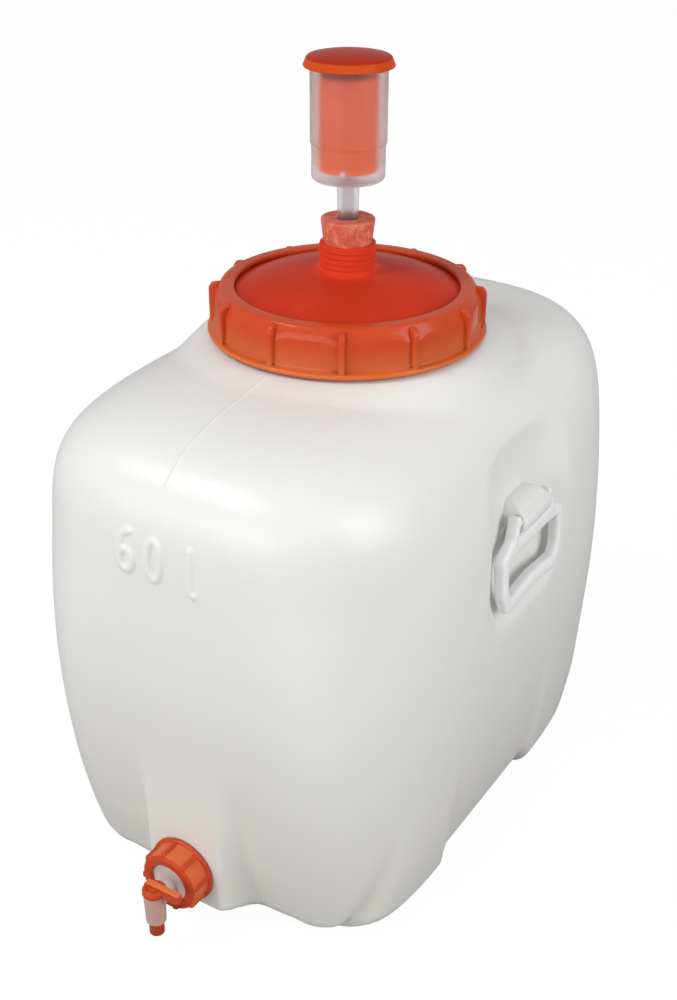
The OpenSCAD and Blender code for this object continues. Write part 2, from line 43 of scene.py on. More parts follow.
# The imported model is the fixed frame. Sizes below are in millimetres in its axes.
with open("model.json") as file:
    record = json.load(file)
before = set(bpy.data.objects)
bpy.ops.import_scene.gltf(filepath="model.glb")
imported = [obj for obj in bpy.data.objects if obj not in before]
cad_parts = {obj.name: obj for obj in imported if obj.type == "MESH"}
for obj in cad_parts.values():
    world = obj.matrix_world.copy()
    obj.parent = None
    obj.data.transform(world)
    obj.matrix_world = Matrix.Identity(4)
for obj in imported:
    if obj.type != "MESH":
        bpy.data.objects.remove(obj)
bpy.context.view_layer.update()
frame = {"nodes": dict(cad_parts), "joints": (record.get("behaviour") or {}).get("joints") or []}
MM = 0.001


def low(node):
    """Lowest corner of a CAD node in millimetres."""
    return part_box(node)[0] / MM


def high(node):
    """Highest corner of a CAD node in millimetres."""
    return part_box(node)[1] / MM


AXIS_Y = (low("lid_seal").y + high("lid_seal").y) / 2
TAP_Z = (low("tap_nut").z + high("tap_nut").z) / 2
BOSS_Y = high("stub").y
SPOUT_Y = (low("tap_o_ring_upper").y + high("tap_o_ring_upper").y) / 2


def length(name, about, value):
    """A size in millimetres that a user may change."""
    return FloatProperty(name=name, description=about, default=value, min=0.0, soft_max=4 * value + 1)


def colour(name, about, value):
    """A linear colour that a user may change."""
    return FloatVectorProperty(name=name, description=about, subtype="COLOR", size=3, min=0, max=1, default=value)


class TankSizes(bpy.types.PropertyGroup):
    half_width: length("Half width", "Half of the tank's width at its widest level, mm", 170.5)
    half_depth: length("Half depth", "Half of the tank's depth at its widest level, mm", 251.5)
    belly: length("Widest level", "Height of the widest level above the floor, mm", 287)
    crown: length("Crown", "Height of the crown where the neck begins, mm", 429)
    base_half_width: length("Base half width", "Half of the base's width, mm", 146)
    base_half_depth: length("Base half depth", "Half of the base's depth, mm", 207)
    edge_radius: length("Bottom edge", "Radius of the bottom edge, mm", 24)
    wall: length("Wall", "Thickness of the tank's wall, mm", 3)
    neck_radius: length("Neck radius", "Outer radius of the neck, mm", 94.5)
    neck_wall: length("Neck wall", "Thickness of the neck's wall, mm", 6.5)
    boss_half_width: length("Boss half width", "Half of the width of the flat boss behind the tap, mm", 37)
    recess: length("Recess", "Depth of the recess behind each handle, mm", 14)
    numeral_relief: length("Numeral relief", "How far the capacity figures stand out, mm", 1.6)
    seam_relief: length("Seam relief", "Height of the mould's parting line, mm", 0.5)


class FittingSizes(bpy.types.PropertyGroup):
    handle_half_width: length("Handle half width", "Half of a handle's greatest width, mm", 55)
    handle_drop: length("Handle drop", "From a handle's hinge to its lower edge, mm", 72)
    handle_depth: length("Handle depth", "Thickness of a handle, out from the tank, mm", 10)
    ring_ribs: IntProperty(name="Ring ribs", description="Grip ribs round the lid ring", default=12, min=6, max=24)
    nut_ribs: IntProperty(name="Nut ribs", description="Grip ribs round the tap's nut", default=8, min=6, max=14)
    thread_turns: FloatProperty(name="Spout thread", description="Turns of the spout's thread", default=3.7, min=1, max=6)


class Colours(bpy.types.PropertyGroup):
    milky: colour("Milky plastic", "Natural plastic of the tank", (0.797, 0.784, 0.752))
    white: colour("White plastic", "Plastic of the handles", (0.84, 0.84, 0.835))
    orange: colour("Orange plastic", "Plastic of the lid ring and the tap", (0.565, 0.062, 0.015))
    # Amber is a painted glow: the colour of light coming through the orange plastic where it is least thick.
    amber: colour("Amber", "Thin places of the orange plastic, where light comes through", (0.74, 0.17, 0.025))
    red: colour("Red-orange plastic", "Plastic of the lid plate and the airlock's cap", (0.54, 0.036, 0.013))
    salmon: colour("Salmon rubber", "Rubber of the bung", (0.62, 0.10, 0.055))
    clear: colour("Clear plastic", "Frosted plastic of the airlock and the tap", (0.82, 0.71, 0.68))
    black: colour("Black rubber", "Rubber of the seals in the tap", (0.02, 0.02, 0.02))


class PhotoView(bpy.types.PropertyGroup):
    azimuth: FloatProperty(name="Azimuth", description="Turn of the camera round the tank, degrees", default=31.296)
    elevation: FloatProperty(name="Elevation", description="Height of the camera over the horizon, degrees", default=22.089)
    distance: length("Distance", "From the camera to its aim, mm", 1118.84)
    aim_height: length("Aim", "Height of the camera's aim above the floor, mm", 419.43)
    yaw: FloatProperty(name="Yaw", description="Sideways turn from the aim, degrees", default=-0.315)
    pitch: FloatProperty(name="Pitch", description="Downward turn from the aim, degrees", default=-6.452)
    roll: FloatProperty(name="Roll", description="Roll of the camera, degrees", default=0.458)
    focal: FloatProperty(name="Lens", description="Focal length on the 36 mm long side", default=50.19, min=10)


# ---------- meshes ----------


def mesh_object(name, points, faces, turn=None):
    """A closed mesh with its place in its vertices, in metres, and its faces outwards."""
    mesh = bpy.data.meshes.new(name)
    mesh.from_pydata([Vector(p) * MM for p in points], [], faces)
    work = bmesh.new()
    work.from_mesh(mesh)
    bmesh.ops.remove_doubles(work, verts=work.verts, dist=1e-6)
    bmesh.ops.recalc_face_normals(work, faces=work.faces)
    work.to_mesh(mesh)
    work.free()
    if turn is not None:
        mesh.transform(turn)
    obj = bpy.data.objects.new(name, mesh)
    bpy.context.scene.collection.objects.link(obj)
    return obj


def smooth(obj, angle=34):
    """Shades an object smooth up to an angle between its faces."""
    obj.data.shade_smooth()
    obj.data.set_sharp_from_angle(angle=math.radians(angle))
    return obj


def ease(t, a, b):
    """Smooth step from 0 at a to 1 at b."""
    s = np.clip((t - a) / (b - a), 0, 1)
    return s * s * (3 - 2 * s)


def rounded(corners, steps=5):
    """An outline whose corners (x, y, radius) are filleted."""
    out = []
    count = len(corners)
    for i, (x, y, r) in enumerate(corners):
        here = Vector((x, y))
        a = Vector(corners[i - 1][:2]) - here
        b = Vector(corners[(i + 1) % count][:2]) - here
        if r <= 0 or a.length < 1e-6 or b.length < 1e-6:
            out.append((x, y))
            continue
        half = a.angle(b) / 2
        reach = min(r / math.tan(half), 0.49 * a.length, 0.49 * b.length)
        r = reach * math.tan(half)
        middle = here + (a.normalized() + b.normalized()).normalized() * (r / math.sin(half))
        start = here + a.normalized() * reach - middle
        end = here + b.normalized() * reach - middle
        sweep = start.angle_signed(end)
        for k in range(steps + 1):
            p = start.copy()
            p.rotate(Matrix.Rotation(-sweep * k / steps, 2))
            out.append((middle.x + p.x, middle.y + p.y))
    return out


def lathe(name, outline, turn, segments=96, wave=None):
    """A solid turned from a closed outline of (radius, height). Outlines may touch the axis."""
    points, faces, rings = [], [], []
    for r, z in outline:
        if r < 1e-4:
            rings.append([len(points)])
            points.append((0, 0, z))
        else:
            ring = []
            for j in range(segments):
                a = 2 * math.pi * j / segments
                dr, dz = wave(a, r, z) if wave else (0, 0)
                ring.append(len(points))
                points.append(((r + dr) * math.cos(a), (r + dr) * math.sin(a), z + dz))
            rings.append(ring)
    for i, one in enumerate(rings):
        two = rings[(i + 1) % len(rings)]
        for j in range(segments):
            k = (j + 1) % segments
            if len(one) > 1 and len(two) > 1:
                faces.append((one[j], one[k], two[k], two[j]))
            elif len(one) > 1:
                faces.append((one[j], one[k], two[0]))
            elif len(two) > 1:
                faces.append((one[0], two[k], two[j]))
    return mesh_object(name, points, faces, turn)


def joined(name, *objs):
    """Several closed meshes as one piece."""
    work = bmesh.new()
    for o in objs:
        work.from_mesh(o.data)
    mesh = bpy.data.meshes.new(name)
    work.to_mesh(mesh)
    work.free()
    for o in objs:
        bpy.data.objects.remove(o)
    out = bpy.data.objects.new(name, mesh)
    bpy.context.scene.collection.objects.link(out)
    return out


def prism(name, outline, depth, turn, soften=0.0):
    """An outline in the XY plane, depth thick along Z, with softened edges."""
    count = len(outline)
    points = [(x, y, z) for z in (-depth / 2, depth / 2) for x, y in outline]
    faces = [tuple(range(count - 1, -1, -1)), tuple(range(count, 2 * count))]
    faces += [(i, (i + 1) % count, count + (i + 1) % count, count + i) for i in range(count)]
    obj = mesh_object(name, points, faces)
    if soften:
        work = bmesh.new()
        work.from_mesh(obj.data)
        edges = [e for e in work.edges if e.calc_face_angle(0) > math.radians(30)]
        bmesh.ops.bevel(work, geom=edges, offset=soften * MM, segments=4, profile=0.6, affect="EDGES", clamp_overlap=True)
        bmesh.ops.recalc_face_normals(work, faces=work.faces)
        work.to_mesh(obj.data)
        work.free()
    if turn is not None:
        obj.data.transform(turn)
    return obj


def section_loop(name, rings, turn=None):
    """A closed loop skinned over rings of as many points each."""
    n, m = len(rings), len(rings[0])
    points = [p for ring in rings for p in ring]
    faces = [(i * m + j, i * m + (j + 1) % m, ((i + 1) % n) * m + (j + 1) % m, ((i + 1) % n) * m + j)
             for i in range(n) for j in range(m)]
    return mesh_object(name, points, faces, turn)


def section_rod(name, rings, turn=None):
    """A rod skinned over rings of as many points each, closed at both ends."""
    n, m = len(rings), len(rings[0])
    points = [p for ring in rings for p in ring]
    faces = [(i * m + j, i * m + (j + 1) % m, (i + 1) * m + (j + 1) % m, (i + 1) * m + j)
             for i in range(n - 1) for j in range(m)]
    faces += [tuple(range(m - 1, -1, -1)), tuple(range((n - 1) * m, n * m))]
    return mesh_object(name, points, faces, turn)


def on_axis():
    """Place of what stands on the tank's own axis."""
    return Matrix.Translation((0, AXIS_Y * MM, 0))


def on_boss():
    """Place of what stands on the tap's axis, with Z pointing out of the boss."""
    return Matrix.Translation((0, BOSS_Y * MM, TAP_Z * MM)) @ Matrix.Rotation(math.pi / 2, 4, "X")


def on_spout():
    """Place of what stands on the tap's upright axis."""
    return Matrix.Translation((0, SPOUT_Y * MM, 0))


# ---------- geometry nodes ----------


def inputs_tree(name, sizes):
    """A tree of geometry nodes with named inputs, and its input and output nodes."""
    tree = bpy.data.node_groups.new(name, "GeometryNodeTree")
    face = tree.interface
    face.new_socket("Geometry", in_out="INPUT", socket_type="NodeSocketGeometry")
    for label, (kind, value) in sizes.items():
        face.new_socket(label, in_out="INPUT", socket_type=kind).default_value = value
    face.new_socket("Material", in_out="INPUT", socket_type="NodeSocketMaterial")
    face.new_socket("Geometry", in_out="OUTPUT", socket_type="NodeSocketGeometry")
    return tree, tree.nodes.new("NodeGroupInput"), tree.nodes.new("NodeGroupOutput")


def geo_node(tree, kind, settings=None, links=None):
    """One geometry node: its settings first, then the values or links of its sockets."""
    node = tree.nodes.new(kind)
    for key, value in (settings or {}).items():
        setattr(node, key, value)
    for key, value in (links or {}).items():
        if isinstance(value, bpy.types.NodeSocket):
            tree.links.new(value, node.inputs[key])
        else:
            node.inputs[key].default_value = value
    return node


def round_tree():
    """Copies the incoming mesh evenly round the Z axis."""
    tree, start, end = inputs_tree("Copies round an axis", {
        "Count": ("NodeSocketInt", 12), "First angle": ("NodeSocketFloat", 0.0)})
    line = geo_node(tree, "GeometryNodeMeshLine", {"mode": "OFFSET"}, {
        "Count": start.outputs["Count"], "Offset": (0, 0, 0)})
    step = geo_node(tree, "ShaderNodeMath", {"operation": "DIVIDE"}, {0: 2 * math.pi, 1: start.outputs["Count"]})
    index = geo_node(tree, "GeometryNodeInputIndex")
    turn = geo_node(tree, "ShaderNodeMath", {"operation": "MULTIPLY_ADD"}, {
        0: index.outputs[0], 1: step.outputs[0], 2: start.outputs["First angle"]})
    angles = geo_node(tree, "ShaderNodeCombineXYZ", None, {"Z": turn.outputs[0]})
    put = geo_node(tree, "GeometryNodeInstanceOnPoints", None, {
        "Points": line.outputs[0], "Instance": start.outputs["Geometry"], "Rotation": angles.outputs[0]})
    real = geo_node(tree, "GeometryNodeRealizeInstances", None, {"Geometry": put.outputs[0]})
    dress = geo_node(tree, "GeometryNodeSetMaterial", None, {
        "Geometry": real.outputs[0], "Material": start.outputs["Material"]})
    tree.links.new(dress.outputs[0], end.inputs[0])
    return tree


def thread_tree():
    """Winds a rounded ridge up the Z axis, with ends that run out."""
    tree, start, end = inputs_tree("Thread", {
        "Radius": ("NodeSocketFloat", 0.02), "Pitch": ("NodeSocketFloat", 0.004), "Turns": ("NodeSocketFloat", 3.0),
        "Ridge": ("NodeSocketFloat", 0.0012), "Width": ("NodeSocketFloat", 0.0008), "Start": ("NodeSocketFloat", 0.0)})
    rise = geo_node(tree, "ShaderNodeMath", {"operation": "MULTIPLY"}, {
        0: start.outputs["Pitch"], 1: start.outputs["Turns"]})
    path = geo_node(tree, "GeometryNodeCurveSpiral", None, {
        "Resolution": 72, "Rotations": start.outputs["Turns"], "Start Radius": start.outputs["Radius"],
        "End Radius": start.outputs["Radius"], "Height": rise.outputs[0]})
    where = geo_node(tree, "GeometryNodeSplineParameter")
    from_end = geo_node(tree, "ShaderNodeMath", {"operation": "PINGPONG"}, {0: where.outputs["Factor"], 1: 0.5})
    run_out = geo_node(tree, "ShaderNodeMapRange", {"interpolation_type": "SMOOTHSTEP"}, {
        "Value": from_end.outputs[0], "From Min": 0.0, "From Max": 0.06, "To Min": 0.25, "To Max": 1.0})
    upright = geo_node(tree, "GeometryNodeSetCurveNormal", {"mode": "Z_UP"}, {"Curve": path.outputs[0]})
    thick = geo_node(tree, "GeometryNodeSetCurveRadius", None, {
        "Curve": upright.outputs[0], "Radius": run_out.outputs[0]})
    circle = geo_node(tree, "GeometryNodeCurvePrimitiveCircle", {"mode": "RADIUS"}, {"Resolution": 12, "Radius": 1.0})
    oval = geo_node(tree, "ShaderNodeCombineXYZ", None, {"X": start.outputs["Ridge"], "Y": start.outputs["Width"], "Z": 1.0})
    shape = geo_node(tree, "GeometryNodeTransform", None, {"Geometry": circle.outputs[0], "Scale": oval.outputs[0]})
    made = geo_node(tree, "GeometryNodeCurveToMesh", None, {
        "Curve": thick.outputs[0], "Profile Curve": shape.outputs[0], "Fill Caps": True})
    if "Scale" in made.inputs:
        tree.links.new(run_out.outputs[0], made.inputs["Scale"])
    lift = geo_node(tree, "ShaderNodeCombineXYZ", None, {"Z": start.outputs["Start"]})
    move = geo_node(tree, "GeometryNodeTransform", None, {"Geometry": made.outputs[0], "Translation": lift.outputs[0]})
    real = geo_node(tree, "GeometryNodeRealizeInstances", None, {"Geometry": move.outputs[0]})
    dress = geo_node(tree, "GeometryNodeSetMaterial", None, {
        "Geometry": real.outputs[0], "Material": start.outputs["Material"]})
    tree.links.new(dress.outputs[0], end.inputs[0])
    return tree


def by_tree(obj, tree, values, turn=None):
    """Runs a tree on an object and keeps its result as a plain mesh."""
    modifier = obj.modifiers.new("Made", "NODES")
    modifier.node_group = tree
    ids = {s.name: s.identifier for s in tree.interface.items_tree if s.in_out == "INPUT"}
    for label, value in values.items():
        modifier[ids[label]] = value
    bpy.context.view_layer.update()
    made = bpy.data.meshes.new_from_object(obj.evaluated_get(bpy.context.evaluated_depsgraph_get()))
    obj.modifiers.remove(modifier)
    obj.data = made
    work = bmesh.new()
    work.from_mesh(made)
    bmesh.ops.remove_doubles(work, verts=work.verts, dist=1e-7)
    bmesh.ops.recalc_face_normals(work, faces=work.faces)
    work.to_mesh(made)
    work.free()
    if turn is not None:
        made.transform(turn)
    return obj


def thread(name, radius, pitch, turns, ridge, width, start, material, turn):
    """A thread's ridge as a closed mesh. Ridge and width are half sizes, across and along the axis."""
    seed = mesh_object(name, [(0, 0, 0)], [])
    return by_tree(seed, tree_of("Thread", thread_tree), {
        "Radius": radius * MM, "Pitch": pitch * MM, "Turns": float(turns), "Ridge": ridge * MM, "Width": width * MM,
        "Start": start * MM, "Material": material}, turn)


def tree_of(name, make):
    """A tree by its name, made once."""
    return bpy.data.node_groups.get(name) or make()


# ---------- materials ----------


class Amount:
    """A value in a shader. Python's operators add its Math nodes."""

    def __init__(self, finish, socket):
        self.finish, self.socket = finish, socket

    def _with(self, operation, a, b):
        plain = [x.socket if isinstance(x, Amount) else x for x in (a, b)]
        return Amount(self.finish, self.finish.node("ShaderNodeMath", {"operation": operation}, dict(enumerate(plain))))

    def __add__(self, other):
        return self._with("ADD", self, other)

    def __radd__(self, other):
        return self._with("ADD", other, self)

    def __sub__(self, other):
        return self._with("SUBTRACT", self, other)

    def __rsub__(self, other):
        return self._with("SUBTRACT", other, self)

    def __mul__(self, other):
        return self._with("MULTIPLY", self, other)

    def __rmul__(self, other):
        return self._with("MULTIPLY", other, self)

    def over(self, start, end):
        """0 below start, 1 above end, with a smooth step between."""
        socket = self.finish.node("ShaderNodeMapRange", {"interpolation_type": "SMOOTHSTEP"}, {
            "Value": self.socket, "From Min": start, "From Max": end})
        return Amount(self.finish, socket)


class Finish:
    """A material with one Principled shader and the nodes that vary it."""

    def __init__(self, name, base, roughness, **constants):
        self.material = bpy.data.materials.new(name)
        self.material.use_nodes = True
        self.tree = self.material.node_tree
        self.shader = next(n for n in self.tree.nodes if n.type == "BSDF_PRINCIPLED")
        self.shader.inputs["Base Color"].default_value = (*base, 1)
        self.shader.inputs["Roughness"].default_value = roughness
        for key, value in constants.items():
            self.shader.inputs[key.replace("_", " ")].default_value = value

    def node(self, kind, settings=None, links=None, output=0):
        """A node: its settings first, then the values or links of its sockets. Returns one output."""
        node = self.tree.nodes.new(kind)
        for key, value in (settings or {}).items():
            if key == "stops":
                ramp = node.color_ramp.elements
                for at, tone in value[2:]:
                    ramp.new(at).color = (*tone, 1)
                for spot, (at, tone) in zip((ramp[0], ramp[-1]), value[:2]):
                    spot.position, spot.color = at, (*tone, 1)
            else:
                setattr(node, key, value)
        for key, value in (links or {}).items():
            value = value.socket if isinstance(value, Amount) else value
            if isinstance(value, bpy.types.NodeSocket):
                self.tree.links.new(value, node.inputs[key])
            else:
                node.inputs[key].default_value = value
        return node.outputs[output]

    def place(self):
        """Object coordinates in metres."""
        return self.node("ShaderNodeTexCoord", output="Object")

    def parts(self):
        """The three Object coordinates as values."""
        split = self.node("ShaderNodeSeparateXYZ", None, {"Vector": self.place()}).node
        return [Amount(self, s) for s in split.outputs]

    def noise(self, scale, detail=2.0, stretch=(1, 1, 1), rough=0.5):
        """Noise over the object, scale in lumps per metre."""
        where = self.node("ShaderNodeMapping", {"vector_type": "POINT"}, {"Vector": self.place(), "Scale": stretch})
        return Amount(self, self.node("ShaderNodeTexNoise", None, {
            "Vector": where, "Scale": scale, "Detail": detail, "Roughness": rough}))

    def blend(self, factor, one, two):
        """A colour between two colours."""
        def full(c):
            return c if isinstance(c, bpy.types.NodeSocket) else (*c, 1)
        return self.node("ShaderNodeMix", {"data_type": "RGBA"}, {0: factor, 6: full(one), 7: full(two)}, output=2)

    def feed(self, name, value):
        value = value.socket if isinstance(value, Amount) else value
        self.tree.links.new(value, self.shader.inputs[name])
        return self

    def bump(self, height, distance, strength=1.0):
        """Feeds the normal with a height in metres times distance."""
        self.feed("Normal", self.node("ShaderNodeBump", None, {
            "Height": height, "Distance": distance, "Strength": strength}))
        return self


def tone(value, factor):
    """A colour made lighter or darker."""
    return tuple(min(1.0, c * factor) for c in value)


def milky_plastic(c):
    """Blow-moulded natural plastic: soft sheen, faint clouds, a fine skin, and painted shade that darkens it towards
    the bottom.
    """
    f = Finish("milky_plastic", c.milky, 0.36, Subsurface_Weight=0.12, Subsurface_Scale=0.02, IOR=1.5)
    f.shader.inputs["Subsurface Radius"].default_value = (1.0, 0.9, 0.75)
    x, y, z = f.parts()
    cloud = f.noise(7, 3)
    streak = f.noise(30, 2, (1, 1, 0.12))
    # Painted shade: the colour darkens over the lowest 0.3 m, mixed with a share of random clouds.
    low_shade_and_cloud = (1 - z.over(0.0, 0.30)) * 0.8 + cloud * 0.2
    pale = f.blend(low_shade_and_cloud, tone(c.milky, 1.03), (c.milky[0] * 0.88, c.milky[1] * 0.87, c.milky[2] * 0.84))
    f.feed("Base Color", pale)
    f.feed("Roughness", 0.28 + cloud * 0.10 + streak * 0.05)
    return f.bump(f.noise(900, 2) * 0.35 + f.noise(60, 2) * 1.0 + streak * 0.6, 0.00035, 0.6)


def white_plastic(c):
    """Moulded white plastic with a fine satin skin."""
    f = Finish("white_plastic", c.white, 0.34, IOR=1.5)
    cloud = f.noise(40, 3)
    f.feed("Base Color", f.blend(cloud, tone(c.white, 1.03), tone(c.white, 0.95)))
    f.feed("Roughness", 0.28 + cloud * 0.14)
    return f.bump(f.noise(700, 2) * 0.4 + f.noise(110, 2), 0.0003, 0.6)


def orange_plastic(c):
    """Glossy orange plastic, with a painted glow of light coming through its lower wall and along the flange's lower
    edge, where the plastic is least thick.
    """
    f = Finish("orange_plastic", c.orange, 0.2, Subsurface_Weight=0.1, Subsurface_Scale=0.006, IOR=1.5,
               Specular_IOR_Level=0.22)
    f.shader.inputs["Subsurface Radius"].default_value = (1.0, 0.25, 0.05)
    z = f.parts()[2]
    floor = low("lid_ring").z * MM
    # Painted glow: the ring's lower wall is lightened towards a light orange, and the flange's lower edge is turned
    # amber.
    wall = (1 - z.over(floor + 0.006, floor + 0.024)) * (0.35 + f.noise(14, 2) * 0.5)
    edge = (1 - z.over(floor + 0.003, floor + 0.0045)) * 0.45
    f.feed("Base Color", f.blend(edge, f.blend(wall, c.orange, (0.57, 0.14, 0.036)), c.amber))
    f.feed("Roughness", 0.17 + f.noise(60, 2) * 0.08)
    return f.bump(f.noise(80, 2) * 0.8 + f.noise(600, 1) * 0.12, 0.0003, 0.5)


def red_plastic(c):
    """Polished red-orange plastic, with a painted sheen on the cap's skirt, painted shade on the cap's top and a
    painted glow on the spout.
    """
    f = Finish("red_plastic", c.red, 0.2, Subsurface_Weight=0.06, Subsurface_Scale=0.006, IOR=1.5,
               Specular_IOR_Level=0.03)
    f.shader.inputs["Subsurface Radius"].default_value = (1.0, 0.25, 0.05)
    cloud = f.noise(22, 2)
    x, y, z = f.parts()
    across = y - AXIS_Y * MM
    brim = low("airlock_cap").z * MM
    # Painted sheen: the cap's skirt is turned orange where highlights fall on it.
    skirt_sheen = z.over(brim - 0.001, brim) * (1 - z.over(brim + 0.0056, brim + 0.0066))
    # Painted shade: the cap's top is darkened to 0.78 of the red.
    cap = z.over(brim + 0.005, brim + 0.0066)
    # Painted glow: the spout is lightened to 1.2 of the red.
    spout = (1 - (x * x + across * across).over(0.024 ** 2, 0.034 ** 2)) * (1 - z.over(brim - 0.03, brim - 0.02))
    body = f.blend(cloud.over(0.35, 0.7), tone(c.red, 0.98), tone(c.red, 1.06))
    body = f.blend(spout, f.blend(cap, body, tone(c.red, 0.78)), tone(c.red, 1.2))
    f.feed("Base Color", f.blend(skirt_sheen * 0.6, body, (0.62, 0.10, 0.012)))
    f.feed("Roughness", 0.17 + f.noise(45, 2) * 0.08)
    return f.bump(f.noise(50, 2) + f.noise(500, 1) * 0.1, 0.00025, 0.5)


def tap_plastic(c):
    """Glossy plastic of the tap, with painted highlights in the nut's panels and along the lever's top edge."""
    f = Finish("tap_plastic", c.orange, 0.2, Specular_IOR_Level=0.22)
    x, y, z = f.parts()
    up = z - TAP_Z * MM
    reach = x * x + up * up
    face = (BOSS_Y - 19) * MM
    # Painted highlight: the nut's panels between its ribs are lightened towards amber.
    panel_highlight = (1 - reach.over(0.0254 ** 2, 0.0264 ** 2)) * y.over(face - 0.001, face)
    # Painted highlight along the lever's top edge.
    lever = (1 - y.over(face - 0.004, face - 0.003)) * z.over(high("tap_plug").z * MM - 0.0016, high("tap_plug").z * MM - 0.0008)
    foot = low("tap_plug").z * MM
    red = f.blend(z.over(foot + 0.008, foot + 0.010), tone(c.orange, 0.68), tone(c.orange, 0.9))
    f.feed("Base Color", f.blend(panel_highlight * 0.75 + lever * 0.9, red, (0.70, 0.15, 0.045)))
    f.feed("Roughness", 0.17 + f.noise(60, 2) * 0.08)
    return f.bump(f.noise(80, 2) * 0.8 + f.noise(600, 1) * 0.12, 0.0003, 0.5)


def bell_plastic(c):
    """Satin orange plastic of the airlock's bell."""
    f = Finish("bell_plastic", c.amber, 0.3, IOR=1.4)
    z = f.parts()[2]
    foot = low("airlock_bell").z * MM
    cloud = f.noise(60, 2)
    lit = f.blend(cloud, (0.76, 0.095, 0.014), (0.84, 0.145, 0.030))
    f.feed("Base Color", f.blend(z.over(foot + 0.01, foot + 0.03), (0.84, 0.13, 0.003), lit))
    f.feed("Roughness", 0.25 + cloud * 0.12)
    return f.bump(f.noise(300, 1), 0.0002, 0.4)


def salmon_rubber(c):
    """Soft mottled rubber with a worn, dusty skin."""
    f = Finish("salmon_rubber", c.salmon, 0.6, IOR=1.45)
    blot = f.noise(150, 4, rough=0.65)
    grain = f.noise(900, 3)
    worn = f.blend(blot.over(0.4, 0.68), c.salmon, (0.74, 0.24, 0.15))
    dark = f.blend(f.noise(420, 3).over(0.56, 0.72) * 0.6, worn, (0.40, 0.05, 0.03))
    f.feed("Base Color", dark)
    f.feed("Roughness", 0.5 + blot * 0.25)
    return f.bump(blot * 1.0 + grain * 0.5, 0.0006, 0.8)


def frosted_plastic(c):
    """Clear plastic with a fine frost."""
    f = Finish("frosted_plastic", c.clear, 0.34, Transmission_Weight=0.95, IOR=1.2,
               Specular_IOR_Level=0.25)
    foot = low("airlock_bell").z * MM
    z = f.parts()[2]
    floor = f.blend(z.over(foot - 0.0085, foot - 0.0065), (0.72, 0.68, 0.70), (0.90, 0.83, 0.82))
    f.feed("Base Color", f.blend(z.over(foot + 0.001, foot + 0.008), floor, c.clear))
    f.feed("Roughness", 0.28 + f.noise(70, 2, (1, 1, 4)) * 0.12)
    return f.bump(f.noise(120, 2, (1, 1, 6)), 0.00012, 0.5)


def sleeve_plastic(c):
    """Milky clear plastic of the tap's body, tinted by the plug inside it."""
    f = Finish("sleeve_plastic", (0.78, 0.62, 0.58), 0.3, Transmission_Weight=0.3, IOR=1.4)
    y = f.parts()[1]
    cloud = f.noise(90, 2)
    tube = f.blend(cloud, (0.74, 0.52, 0.46), (0.64, 0.34, 0.28))
    disc = y.over((SPOUT_Y + 9.5) * MM, (SPOUT_Y + 12) * MM)
    f.feed("Base Color", f.blend(disc, tube, (0.90, 0.80, 0.74)))
    f.feed("Roughness", 0.24 + cloud * 0.16)
    return f.bump(f.noise(160, 2), 0.0002, 0.5)


def black_rubber(c):
    """Soft black rubber."""
    f = Finish("black_rubber", c.black, 0.5, IOR=1.45)
    f.feed("Roughness", 0.42 + f.noise(400, 2) * 0.2)
    return f.bump(f.noise(1500, 2), 0.0001, 0.5)


def pale_seal(c):
    """Soft pale sealing ring."""
    f = Finish("pale_seal", (0.6, 0.59, 0.56), 0.6, IOR=1.45)
    f.feed("Roughness", 0.5 + f.noise(300, 2) * 0.2)
    return f.bump(f.noise(1200, 2), 0.0001, 0.5)


def finish(make):
    """The material that a function makes, made once."""
    name = make.__name__
    if name not in bpy.data.materials:
        make(bpy.context.scene.tank_colours)
    return bpy.data.materials[name]


def dress(obj, make):
    """Gives an object one material all over."""
    obj.data.materials.clear()
    obj.data.materials.append(finish(make))
    for p in obj.data.polygons:
        p.material_index = 0
    return obj


def settle(obj, body, slot, make, *nodes, angle=34):
    """Dresses a piece, puts it on its body and hides the CAD nodes that it replaces."""
    smooth(obj, angle)
    dress(obj, make)
    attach(obj, body)
    if nodes:
        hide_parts(*nodes)
    return obj


def cut(obj, cutter):
    """Cuts one closed mesh out of another."""
    modifier = obj.modifiers.new("Cut", "BOOLEAN")
    modifier.operation, modifier.solver, modifier.object = "DIFFERENCE", "EXACT", cutter
    bpy.context.view_layer.update()
    made = bpy.data.meshes.new_from_object(obj.evaluated_get(bpy.context.evaluated_depsgraph_get()))
    obj.modifiers.remove(modifier)
    obj.data = made
    bpy.data.objects.remove(cutter)
    return obj


# ---------- tank ----------

HINGE_X, HINGE_Z = (1000 * v for v in next(
    j for j in frame["joints"] if j["name"] == "handle_right_swing")["pos_m"][::2])
RECESS_Z = HINGE_Z - 14
RECESS_HALF_WIDTH = 68
RECESS_HALF_HEIGHT = 76
BOSS_FACE = BOSS_Y - AXIS_Y
COLLAR_RADIUS = 104
COLLAR_FADE = 36
COLLAR_RISE = 3
FOOT_FROM = 74
FOOT_FRONT_FROM = 90
FOOT_TO = 176
CREASE_DEPTH = 5.5
CREASE_WIDTH = 6.5
FIGURES_LOW = 320
FIGURES_HIGH = 368


def recess(t, y, z):
    """Depth of the recess behind a handle, with a soft rim."""
    s = 1 - (y / RECESS_HALF_WIDTH) ** 4 - ((z - RECESS_Z) / RECESS_HALF_HEIGHT) ** 4
    return t.recess * (s + np.sqrt(s * s + 0.012)) / 2 * (np.abs(y) < 90) * (np.abs(z - RECESS_Z) < 100)


def foot(t, x, y, z):
    """How far the foot pads stand out of the long sides."""
    start = np.where(y < 0, FOOT_FRONT_FROM, FOOT_FROM)
    across = ease(np.abs(y), start - 4, start + 4) * (1 - ease(np.abs(y), FOOT_TO - 10, FOOT_TO + 12))
    return 3.4 * across * (1 - ease(z, 50, 150)) * ease(np.abs(x), 0.4 * t.base_half_width, 0.75 * t.base_half_width)


